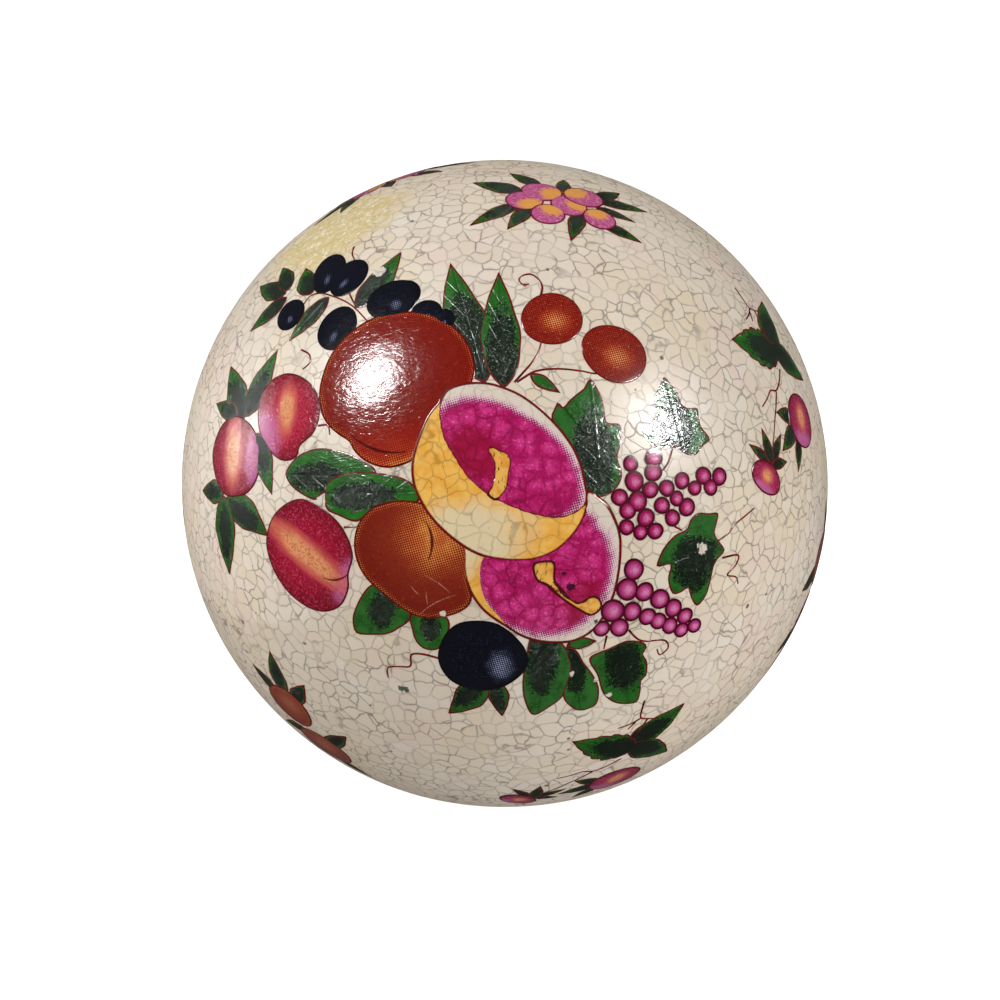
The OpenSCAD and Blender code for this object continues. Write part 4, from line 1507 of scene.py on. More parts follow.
@dataclass(frozen=True)
class Spray(Transfer):
    """The large fruit spray of one side, drawn in the same layers as its films."""

    side: Side
    leaves: tuple[tuple[Point, Point, float, float], ...] = (
        ((-2.5, 13), (-7.7, 31.4), 6.4, 0.4), ((0, 12.3), (-0.8, 29.6), 5.4, 0.2),
        ((-21.3, 25), (-15.2, 34.3), 4.4, -0.5), ((-29.5, 28.8), (-32.2, 35), 4, 0.3),
        ((-35, 30.3), (-43.7, 35.2), 4, 0.2), ((-34.5, 31), (-38.5, 37.5), 3.6, 0),
        ((-34.5, 29.6), (-41.7, 24.8), 3.5, 0), ((-26, 27.7), (-32.2, 21), 3.2, 0),
        ((-39.5, 9.5), (-45, 19.4), 5, 0), ((-39, 10), (-34, 20.2), 4.4, 0),
        ((-41, 10.4), (-47.5, 13.2), 3.2, 0), ((-36.4, 7.5), (-33.1, -1.7), 3.8, 0),
        ((-43.2, -2.2), (-34, -7.7), 5.2, 0.4), ((-43.8, -1.8), (-43.9, -14.8), 5.2, 0),
        ((-43.6, -1.4), (-50.5, -1.2), 4, 0), ((-2.6, -26.5), (-8.1, -33.1), 4.6, 0.4),
        ((-1.4, -27), (-0.3, -33.4), 3, 0.2), ((8.4, -21.6), (12.6, -21.3), 1.9, 0),
        ((3.3, 14.2), (7.3, 11.7), 1.8, 0))
    clusters: tuple[tuple[str, tuple[int, ...], str], ...] = (
        ("crest", (0, 1), "leaf"), ("damson", (2, 3, 7), "leaf"), ("far", (4, 5, 6), "leaf"),
        ("plum", (8, 9, 10, 11), "leaf"), ("low", (12, 13, 14), "leaf_dull"), ("foot", (15, 16), "leaf_dull"),
        ("plain", (17, 18), "leaf_plain"))
    damsons: tuple[tuple[float, float, float, float, float, int], ...] = (
        (-27, 32.4, 3, 3.8, -3, 0), (-23.2, 30.7, 2.8, 3.6, -38, 1), (-32.8, 25.9, 2.7, 2.7, 0, 0),
        (-23.8, 22.1, 3, 3.6, -21, 0), (-15.7, 25.8, 3.9, 3.1, 25, 2), (-13.9, 26.5, 2.3, 2.3, 0, 0),
        (-10.6, 23.3, 2.2, 2, 0, 1), (-8.1, 22.2, 1.5, 1.5, 0, 2))
    cherries: tuple[tuple[float, float, float, float, float], ...] = (
        (6.4, 22.2, 4.2, 3.9, 0), (14.8, 17.5, 4.6, 4.1, -20))
    upper_grapes: tuple[tuple[float, float, float], ...] = (
        (16.5, 2.6, 1.1), (19.8, 3.4, 1.3), (19.7, 1.5, 1.3), (17, 0.3, 1.4), (19.3, -0.8, 1.2),
        (21.7, -0.6, 1.2), (24, 0.4, 1.2), (27.4, 1.1, 1.3), (30.1, 1, 1.3), (26, -0.6, 1.1),
        (28.6, -0.5, 1.2), (15, -1.8, 1.2), (17.5, -2.3, 1.4), (23.2, -2, 1.1), (16.1, -3.5, 1.2),
        (21, -2.9, 1.2), (24.8, -3.2, 1.3), (18.7, -4.5, 1.3), (22.6, -4.6, 1.2), (16, -5.7, 1.1),
        (18, -6.4, 1.1), (20.1, -6.3, 1.2))
    lower_grapes: tuple[tuple[float, float, float], ...] = (
        (17.2, -11.4, 1.5), (16.4, -14.1, 1.6), (18.9, -14.6, 1.4), (21.3, -15.8, 1.5),
        (14.5, -17, 1.7), (17.3, -17.3, 1.4), (23.5, -17.3, 1.4), (19.6, -18.2, 1.3), (21.3, -19, 1.3),
        (25.5, -18.7, 1.3), (13.1, -19.5, 1.2), (15.6, -19.5, 1.4), (23.2, -19.9, 1.3),
        (25.2, -20.8, 1.2), (27.3, -20.4, 1.2))
    tendrils: Paths = (
        ((1.3, 13.1), (2.4, 14.4), (3.5, 15.7), (4.5, 17.4), (5, 19.6)),
        ((1.6, 13.1), (4, 14.6), (7, 15), (10, 14.8), (12, 14.5), (13.3, 14.9)),
        ((4.9, 25.6), (5.2, 27), (4.7, 28.3), (3.7, 29.1), (2.6, 28.9), (2, 28.2), (2.5, 27.4), (3.4, 27.5)),
        ((-29.5, 19.4), (-28, 18.5), (-27.7, 17.2), (-28.8, 16.3)),
        ((-23.5, 37), (-23.5, 35.5), (-22.8, 34)), ((-25.5, 7.9), (-24, 7.9), (-23.6, 6.6)),
        ((-30.5, 27.3), (-29.6, 28.5), (-27.8, 28.7), (-25.2, 27.6), (-23.1, 26.4), (-21.3, 25),
         (-19.1, 22.6)),
        ((-22.7, 27.9), (-22, 26.6), (-21, 25)),
        ((-8.6, -23.8), (-11, -23.2), (-12.7, -23.4), (-13, -25.2), (-14.8, -25.4), (-16.3, -25.8),
         (-16.4, -27.4)),
        ((30.2, -8), (32, -7), (33, -5.9), (35, -4.7), (36.8, -3.6)),
        ((31.1, -10.6), (34, -10.4), (33.8, -11.8), (32.3, -13.2), (34, -13.7), (34.6, -14.8)),
        ((17, -20), (19, -21.8), (22.5, -22.1), (23.4, -23.4), (22.2, -24.4), (21.6, -23.4)),
        ((13.9, -20.6), (13.6, -22.6)), ((22.6, 4.7), (21.9, 2.8), (21, 1.7)),
        ((22.9, -5.7), (24.2, -6.4)), ((-21.4, -5.8), (-19.6, -5.7)))

    def _vines(self) -> list[tuple[str, Patch]]:
        """Returns the four lobed leaves with their names."""
        first = [(11.3, 13.8), (10.4, 12.5), (9.3, 11.6), (8.2, 10.6), (7.6, 9.8), (6.9, 10.6), (6.4, 9.6),
                 (6, 8.6), (6.4, 7.4), (8, 4), (9, 1), (10.6, -1.2), (12.4, -1.8), (14.4, -0.8), (15.4, 1.2),
                 (14.7, 3.4), (15.3, 5.4), (15.2, 7.8), (13.4, 7.9), (13.1, 9.4), (12.7, 11.4)]
        second = [(21.8, 14.6), (23, 13.4), (24, 12), (24.2, 11), (25.2, 10.4), (26.8, 10.5), (26.9, 9.2),
                  (27.3, 7.8), (28.7, 6.2), (27.4, 5.2), (26.4, 4), (24.8, 3.9), (23.2, 4.8), (21.4, 4.6),
                  (19.4, 5.2), (18.2, 7), (19.6, 8.2), (20.2, 9.6), (20, 11.4), (20.8, 12.8)]
        third = [(30, -4.1), (28.4, -4.1), (26.6, -4), (25.4, -4.9), (24.9, -6.2), (23.2, -6.9),
                 (21.6, -8.4), (20.7, -10.2), (20.6, -11.3), (22.6, -11), (22.3, -13), (23.2, -15.2),
                 (24.8, -15), (25.6, -14.5), (26.2, -16), (27.4, -17.4), (28.8, -16), (29.4, -13.6),
                 (29.9, -11.2), (31.5, -9.6), (30.6, -8.4), (29.5, -7), (29.8, -5.6)]
        fourth = [(11.9, -23.5), (14.3, -22.6), (16.7, -21.6), (19.2, -22), (20, -22.9), (19.5, -24),
                  (20.3, -25.2), (20.5, -27.6), (19.8, -28.4), (19.9, -30), (19.6, -32.4), (16.7, -32.2),
                  (14.9, -31), (13.8, -29.4), (13, -26.8), (11.7, -24.6)]
        return [("inner", vine_patch(first, (11, 5.5), (12.5, -2), (11.2, 14), 9.5, 0.035)),
                ("upper", vine_patch(second, (23, 8), (24.5, 3.8), (21.8, 14.8), 10.5)),
                ("outer", vine_patch(third, (26.3, -9.8), (30, -9.4), (20.4, -11), 13.5)),
                ("lower", vine_patch(fourth, (16.3, -26.5), (15, -21.5), (18.5, -33), 10))]

    def _broad(self) -> list[tuple[str, str, list[Patch]]]:
        """Returns the broad rounded leaves: name, finish and patches."""
        first = [(-30.7, 1.3), (-30, 2.6), (-28.3, 4), (-25.3, 4.8), (-22.2, 4.4), (-19.4, 3.4), (-16.7, 1.5),
                 (-21, 0), (-24.6, -1.4), (-25.6, -2.3), (-27.2, -1.8), (-28.8, -1), (-30, 0)]
        second = [(-24, 0), (-22.1, 1.1), (-20.2, 1.5), (-17.6, 1.5), (-15, 1.2), (-12.8, 0.6), (-11.3, -0.6),
                  (-11, -2.4), (-14, -3), (-18.3, -4.5), (-19.8, -5.1), (-22.4, -4.2), (-24, -3.5),
                  (-24.2, -1.8)]
        third = [(-17.6, -13.4), (-19, -14.7), (-20.2, -16.7), (-20.9, -18.6), (-20.6, -20.7), (-18.2, -20.8),
                 (-15.7, -20.4), (-14.2, -19.5), (-12.4, -17.9), (-13, -15), (-15, -13)]
        fourth = [(-12.6, -17.6), (-12.5, -19), (-12, -21.2), (-10.8, -22.4), (-9, -22.4), (-8.1, -21.2),
                  (-7.3, -19.5), (-7.3, -18), (-8.6, -16.6), (-11, -16.4)]
        fifth = [(3.6, -20.4), (6.4, -20.4), (8.2, -21.9), (9.1, -24), (9.2, -26.2), (8.7, -28.6),
                 (8.1, -30.2), (6.5, -31.7), (4.2, -33.2), (3.1, -31.4), (2.5, -28.6), (2.6, -25.4),
                 (3, -22.6)]
        sixth = [(8.4, -21.6), (10, -22.8), (10.8, -24.4), (12, -26), (13.1, -28), (13.5, -29.8), (13.2, -32),
                 (10.8, -32.8), (9, -31.4), (8.2, -29.8), (8.4, -28), (9, -25.8), (8.4, -23.4)]
        return [
            ("middle", "leaf_broad",
             [vine_patch(first, (-25, 1.5), (-30.7, 1.3), (-16.7, 0.9), 6.8),
              vine_patch(second, (-19, -1.5), (-24.6, -1.4), (-10.5, -1), 6.4, 0.045)]),
            ("peach", "leaf_round",
             [vine_patch(third, (-17, -17.5), (-14.8, -13.2), (-19, -21.6), 8),
              vine_patch(fourth, (-10, -19.6), (-9.8, -16.6), (-10.2, -22.8), 5.4, 0.035)]),
            ("broad", "leaf_foot",
             [vine_patch(fifth, (5.8, -26), (5.6, -20), (4.8, -33.4), 6.6),
              vine_patch(sixth, (10.2, -28), (9, -21.2), (11, -33), 4.8, 0.04)])]

    def _solid(self, points: list[Point], middle: Point, own: tuple[float, ...], lift: float,
               rim: list[Point] | None = None) -> Patch:
        """Makes a patch with a free outline.

        Args:
            points: Given points of the outline.
            middle: A point that sees all of it.
            own: Its own frame.
            lift: Height of its film.
            rim: The whole shape's outline, where the patch is only a part of it.

        Returns:
            The patch.
        """
        return Patch(looped(points), middle, own, lift, rim=looped(rim) if rim else None)

    def _melons(self) -> list[Drawn]:
        """Returns the melons' films: name, node, finish and patches, lower ones first."""
        upper_cut = [(-8.5, 10), (-7.6, 12), (-6, 12.8), (-4, 13.1), (-2, 13), (0, 12.4), (2, 11.5),
                     (4, 10.1), (6, 8.3), (7.6, 6.5), (9, 4.4), (9.9, 2.3), (10.4, 0.2), (10.7, -1.6),
                     (10.3, -3),
                     (8.6, -4.1), (6.5, -4.5), (4, -4.1), (2, -3.5), (-1, -2.2), (-3, -0.9), (-5, 1),
                     (-6.8, 3.8), (-7.9, 5.8), (-8.4, 8)]
        upper_melon = [(-8.6, 10.6), (-7.6, 12.05), (-6, 12.85), (-4, 13.15), (-2, 13.05), (0, 12.45),
                       (2, 11.55), (4, 10.15), (6, 8.35), (7.65, 6.55), (9.05, 4.45), (9.95, 2.3),
                       (10.45, 0.2), (10.8, -1.6), (10.7, -3.2), (10.1, -4.9), (8.9, -6.7), (7, -8.5),
                       (5, -9.5), (3, -9.95), (0, -9.9), (-3, -9.3), (-5.5, -8), (-8, -6), (-9.8, -4),
                       (-11, -2), (-11.8, 0), (-12, 2.5), (-11.4, 5.2), (-10.1, 8.6)]
        lower_cut = [(-2.7, -9), (-3.4, -11), (-3.4, -13), (-2.8, -15), (-1.5, -17), (0.5, -19), (2.5, -20.3),
                     (5, -21.1), (8, -21.3), (10, -20.9), (12, -19.6), (13.4, -17.6), (14.5, -15),
                     (15.1, -12), (15.3, -9), (15.1, -6.5), (14.3, -4.4), (13.2, -2.6), (12, -1.7),
                     (10.6, -1), (6, -4), (0, -7)]
        lower_melon = [(-4.9, -7.5), (-5.3, -9.5), (-5.3, -11.3), (-4.9, -13), (-4, -15), (-2.4, -17),
                       (0.5, -19.1), (2.5, -20.4), (5, -21.2), (8, -21.4), (10, -21), (12, -19.7),
                       (13.5, -17.6), (14.6, -15), (15.2, -12), (15.4, -9), (15.2, -6.5), (14.4, -4.3),
                       (13.3, -2.5), (12, -1.6), (10.6, -0.9), (6, -4), (0, -6)]
        upper_stalk = [(-2.4, 4.2), (-1.5, 4.9), (-0.5, 4.3), (0.5, 4), (1, 2.8), (0.7, 1.2), (0.5, -0.5),
                       (-0.5, -1.9), (-1.2, -2.2), (-2.3, -1.3), (-1.6, 0), (-1.4, 2), (-1.6, 3.2)]
        head = [(3.8, -10.1), (3.7, -11.5), (4.3, -12.7), (5.5, -13.2), (7, -14.7)]
        bend = [(8.5, -14.9), (7.3, -13.7), (6.6, -12.4), (6.6, -11), (6.3, -9.9)]
        tail = [(9, -16.2), (10.3, -17), (11.5, -17.6), (12.7, -16.9), (13, -15.9), (12.3, -14.9),
                (11.2, -14.8), (9.9, -15.6)]
        stalk = head + tail + bend
        return [
            ("melon_lower_skin", "melon_skins", "melon_skin_lower",
             [self._solid(lower_melon, (5.5, -11), (5.1, -11.2, 10.3, 10.2, 0), 0.09)]),
            ("melon_lower_flesh", "melon_flesh", "melon_flesh_lower",
             [self._solid(lower_cut, (6, -12), (6, -11.8, 9.5, 9.8, 0), 0.10)]),
            ("melon_upper_skin", "melon_skins", "melon_skin_upper",
             [self._solid(upper_melon, (-0.5, 1.5), (-0.6, 1.6, 11.4, 11.5, 0), 0.12)]),
            ("melon_upper_flesh", "melon_flesh", "melon_flesh_upper",
             [self._solid(upper_cut, (0.8, 4.2), (1.4, 3.9, 11.5, 6.5, -34), 0.14)]),
            ("stalks", "seed_stalks", "stalk",
             [self._solid(upper_stalk, (-0.4, 2), (-0.6, 1.5, 1.7, 3.5, 0), 0.16),
              self._solid(head + bend, (5.7, -12), (5.5, -12, 2, 2.5, 0), 0.16, stalk),
              self._solid([(5.5, -13.2), (7, -14.7), *tail, (8.5, -14.9), (7.3, -13.7), (6.6, -12.6)],
                          (9.5, -16), (9.5, -16, 3.5, 1.5, 0), 0.17, stalk)])]

    def _fruit(self) -> list[Drawn]:
        """Returns the other fruits' films: name, node, finish and patches."""
        big = [(-25.6, 13.5), (-25.2, 10), (-23.9, 7.9), (-22.2, 6.5), (-20.7, 5.6), (-19.9, 4.3), (-18.4, 3),
               (-16.4, 2.2), (-14.4, 2.1), (-12, 2.9), (-9, 5), (-7, 9), (-4.6, 12), (-3.8, 15), (-4.7, 18.3),
               (-7, 21.2), (-10.3, 23.1), (-14.2, 23.7), (-18, 23.2), (-21.5, 21.2), (-24.3, 18)]
        small = [(-20, -8), (-19.3, -5.3), (-17.5, -3.3), (-15, -2.3), (-12, -2.2), (-9, -3), (-5, -5),
                 (-3, -9), (-4.6, -12), (-4.2, -15), (-5.4, -16.6), (-8, -17.6), (-11, -17.8), (-13.4, -16.8),
                 (-16, -14.8), (-18.3, -12.8), (-19.6, -10.6)]
        plum_1 = [(-36.5, 10.2), (-36.2, 13), (-34.5, 15.2), (-31.5, 16), (-28.3, 14.9), (-26, 12.6),
                  (-25.3, 9.8), (-26.1, 7), (-28.3, 5.2), (-28.6, 3.9), (-30, 3.2), (-31.9, 3.4), (-34, 5),
                  (-35.8, 7.4)]
        plum_2 = [(-47.1, 4.5), (-46, 8), (-43.8, 10), (-41, 10.4), (-38, 8.9), (-36, 6.4), (-35.4, 3.4),
                  (-36.1, 0.6), (-38, -1.4), (-40.5, -2), (-43.3, -1.8), (-45.6, 0.2)]
        plum_3 = [(-34.6, -8.6), (-33.3, -5), (-30.6, -2.8), (-27.6, -2.1), (-24.4, -3.4), (-21.6, -5.9),
                  (-20.2, -9.4), (-21, -12.2), (-21.1, -14.2), (-22.5, -16.8), (-25.2, -18), (-28.2, -17.6),
                  (-31.4, -15.6), (-33.7, -12.4)]
        blue = [(-9, -23.4), (-8.2, -20.6), (-6.4, -18.6), (-3.8, -18), (-1, -18.4), (1.4, -20.2), (3, -22.6),
                (3, -25), (1.4, -27), (-1, -28.4), (-4, -28.6), (-6.8, -27.6), (-8.4, -25.8)]
        return [
            ("peach_big", "peaches", "peach_big",
             [self._solid(big, (-14.5, 12), (-14.7, 12.9, 10.9, 10.8, 0), 0.08)]),
            ("peach_small", "peaches", "peach_small",
             [self._solid(small, (-11.5, -9.5), (-11.5, -10, 8.5, 7.8, 0), 0.08)]),
            ("plum_right", "red_plums", "plum_right",
             [self._solid(plum_1, (-31, 9.8), (-30.9, 9.6, 5.6, 6.4, 0), 0.06)]),
            ("plum_left", "red_plums", "plum_left",
             [self._solid(plum_2, (-41.2, 4.2), (-41.2, 4.2, 5.9, 6.2, 0), 0.06)]),
            ("plum_low", "red_plums", "plum_low",
             [self._solid(plum_3, (-27.5, -9.5), (-27.4, -9.9, 7.2, 7.9, 55), 0.06)]),
            ("blue_plum", "blue_plums", "blue",
             [self._solid(blue, (-3, -23.3), (-3, -23.3, 6, 5.3, 0), 0.07)]),
            ("damsons", "blue_plums", "damson",
             [round_patch(*place, 0.05 + 0.012 * layer, 0.02) for *place, layer in self.damsons]),
            ("cherries", "cherries", "cherry",
             [round_patch(*place, 0.06 + 0.01 * i, 0.02) for i, place in enumerate(self.cherries)]),
            ("grapes_upper", "grapes", "grape", self._bunch(self.upper_grapes)),
            ("grapes_lower", "grapes", "grape_mauve", self._bunch(self.lower_grapes))]

    def _bunch(self, grapes: tuple[tuple[float, float, float], ...]) -> list[Patch]:
        """Returns a bunch of grapes, stacked in turn, from their middles and radii."""
        return [round_patch(x, y, r, r, 0, 0.11 + 0.006 * (i % 5), 0.03)
                for i, (x, y, r) in enumerate(grapes)]

    def films(self) -> list[Drawn]:
        """Returns the spray's films, the fruit first."""
        groups = [(name, finish,
                   [leaf_patch(*self.leaves[k], 0.03 + 0.012 * i) for i, k in enumerate(members)])
                  for name, members, finish in self.clusters]
        drawn = [(name, f"spray_{node}", finish, patches)
                 for name, node, finish, patches in self._melons() + self._fruit()]
        drawn += [(f"leaves_{name}", "spray_leaves", finish, patches)
                  for name, finish, patches in groups + self._broad()]
        return drawn + [(f"vine_{name}", "spray_leaves", "vine", [patch]) for name, patch in self._vines()]

    def lines(self) -> tuple[str, str, Paths]:
        """Returns the tendrils."""
        return "tendrils", "spray_tendrils", self.tendrils


@dataclass(frozen=True)
class CrownSprig(Transfer):
    """Six round berries in a cross of leaves, near the top of the ball."""

    side: Side
    berries: tuple[tuple[float, float, float], ...] = (
        (-5.4, -0.1, 2.6), (-2.8, 2.5, 2.8), (0.5, -0.9, 2.6), (-2.6, -3.5, 2.4), (4.5, -3.1, 2.4),
        (2.9, 2.2, 2.8))
    leaves: tuple[tuple[Point, Point, float], ...] = (
        ((-5.4, 2), (-12, 6.5), 3.4), ((-2.8, 4), (-6.5, 9.4), 2.6), ((0.2, 3), (0.9, 7.8), 2.2),
        ((4.6, 2.2), (9, 7.2), 2.5), ((4.6, 1.6), (12.6, 3.2), 2.7), ((4.2, -0.2), (10, -1.6), 2),
        ((4.5, -4), (10.4, -6.3), 2.4), ((2, -2), (0, -9.2), 2.5), ((-4.6, -1.6), (-8.4, -7.2), 2.5),
        ((-6, -1), (-13.4, -5.6), 2.6))

    def sheet(self) -> Sheet:
        """Returns the sheet, which sits a little differently on each side."""
        return Sheet(self.side, *((78, 57) if self.side is Side.FRONT else (67, 70)))

    def films(self) -> list[Drawn]:
        """Returns the sprig's films."""
        leaves = [leaf_patch(a, b, w, 0, 0.03 + 0.01 * (i % 2)) for i, (a, b, w) in enumerate(self.leaves)]
        berries = [round_patch(x, y, r, r, 40 * i, 0.06 + 0.012 * i, 0.02)
                   for i, (x, y, r) in enumerate(self.berries)]
        return [("crown_leaf_ring", "crown_leaves", "leaf", leaves),
                ("crown_berry_heap", "crown_berries", "berry", berries)]


@dataclass(frozen=True)
class TwigSprig(Transfer):
    """Two plums on a branching twig; a second one sits upside down at the foot."""

    side: Side
    foot: bool = False
    leaves: tuple[tuple[Point, Point, float], ...] = (
        ((3, 8.6), (7.9, 17.8), 5.4), ((3.4, 9.4), (13.2, 6.1), 4.6), ((5.4, -0.7), (0.8, -0.6), 2.3),
        ((6, -1.6), (1.7, -5.9), 2.8), ((6.6, -3), (6.4, -8.1), 2.1), ((-0.8, -8), (-3.1, -3.2), 2),
        ((-1.2, -8), (1.6, -3.4), 2), ((-1.6, -7.6), (-6, -5.7), 1.5), ((-0.9, -8), (3, -7.1), 1.7))
    toothed: tuple[Point, Point, float] = ((5, 8.4), (-6.1, 8.9), 6)
    plums: tuple[tuple[float, float, float, float, float], ...] = (
        (8.2, -0.6, 3.9, 3.9, 0), (-2, -9.8, 3.5, 2.1, -18))
    twigs: Paths = (
        ((0.3, 18.2), (0.8, 16.6), (1.5, 15.1), (2.7, 14.9), (4.6, 15)),
        ((1.6, 15), (0.6, 13.8), (-0.9, 12.7)), ((1.15, 14.2), (0.8, 12.7)),
        ((2.8, 14.8), (2.9, 12.4), (3, 10)),
        ((4.2, 6), (3.2, 4.2), (1.8, 2.6), (0.2, 2.3), (-1, 1), (-2.4, -0.3)),
        ((1.7, 2.4), (0.9, 0), (0.2, -2), (-0.8, -6)))

    def sheet(self) -> Sheet:
        """Returns the sheet, turned over and shifted for the foot."""
        return Sheet(self.side, -62, 60, -20, (-8.5, -7)) if self.foot else Sheet(self.side, 16, 54)

    def films(self) -> list[Drawn]:
        """Returns the sprig's films."""
        place = "foot" if self.foot else "side"
        leaves = [leaf_patch(a, b, w, 0, 0.03 + 0.01 * (i % 3)) for i, (a, b, w) in enumerate(self.leaves)]
        leaves.append(leaf_patch(*self.toothed, 0, 0.045, 4))
        plums = [round_patch(*plum, 0.07, 0.02) for plum in self.plums]
        return [(f"{place}_leaf_film", f"{place}_leaves", "leaf", leaves),
                (f"{place}_plum_film", f"{place}_plums", "twig_plum", plums)]

    def lines(self) -> tuple[str, str, Paths]:
        """Returns the twigs."""
        place = "foot" if self.foot else "side"
        return f"{place}_twig_lines", f"{place}_twigs", self.twigs


@dataclass(frozen=True)
class PeachSprig(Transfer):
    """Two little peaches among leaves, near the left of the spray or at its far right edge."""

    side: Side
    edge: bool = False
    fruit: tuple[tuple[float, float, float], ...] = ((-0.4, -1.5, 4), (1.6, -10.1, 4.2))
    leaves: tuple[tuple[Point, Point, float], ...] = (
        ((0, 1), (0, 9.2), 3.3), ((1.2, 0), (5.4, 5.2), 2.8), ((-1.6, 0.6), (-6, 4), 2.6),
        ((3, -8.6), (9, -4), 2.9), ((0, -6.6), (-5.9, -8.4), 2.6), ((1.6, -12.6), (5.4, -18), 2.6))

    def sheet(self) -> Sheet:
        """Returns the sheet."""
        return Sheet(self.side, -26, 82, 150) if self.edge else Sheet(self.side, -135, 65)

    def films(self) -> list[Drawn]:
        """Returns the sprig's films."""
        place = "edge" if self.edge else "left"
        leaves = [leaf_patch(a, b, w, 0, 0.03 + 0.01 * (i % 2)) for i, (a, b, w) in enumerate(self.leaves)]
        fruit = [round_patch(x, y, r, r, 0, 0.07 + 0.01 * i, 0.02) for i, (x, y, r) in enumerate(self.fruit)]
        return [(f"{place}_leaf_film", f"{place}_leaves", "leaf_dull", leaves),
                (f"{place}_peach_film", f"{place}_peaches", "little_peach", fruit)]


SLOTS = {
    "glaze": "glaze", "bisque": "bisque", "slip": "slip", "leaf": "leaf_print", "leaf_broad": "leaf_print",
    "leaf_round": "leaf_print", "leaf_foot": "leaf_print", "leaf_plain": "leaf_print",
    "leaf_dull": "leaf_print", "vine": "leaf_print", "peach_big": "peach_print", "peach_small": "peach_print",
    "little_peach": "small_peach_print", "melon_skin_upper": "melon_skin_print",
    "melon_skin_lower": "melon_skin_print", "melon_flesh_upper": "melon_flesh_print",
    "melon_flesh_lower": "melon_flesh_print", "stalk": "stalk_print", "plum_right": "plum_print",
    "plum_left": "plum_print", "plum_low": "plum_print", "twig_plum": "plum_print", "blue": "blue_print",
    "damson": "blue_print", "cherry": "cherry_print", "grape": "grape_print", "grape_mauve": "grape_print",
    "line": "line_print", "berry": "berry_print"}


@dataclass(frozen=True)
class ClayFinish:
    """Unglazed white clay, with a fine tooth and the odd iron speck.

    Attributes:
        name: The material's name.
        tone: Its colour.
    """

    name: str = "bisque_clay"
    tone: Colour = srgb(214, 196, 172)

    def build(self) -> bpy.types.Material:
        """Returns the finished material."""
        kit = Kit(self.name)
        place = kit.place()
        soft, fine = kit.noise(place, 9.0, 3.0), kit.noise(place, 0.5, 4.0, 0.7)
        colour = kit.mix(self.tone, srgb(196, 174, 146), soft.smooth(0.35, 0.7))
        colour = kit.mix(colour, srgb(120, 84, 56), fine.smooth(0.7, 0.78) * 0.7)
        return kit.surface(colour, 0.82 + 0.12 * fine, fine + soft, 0.06, 0.0, 0.3)


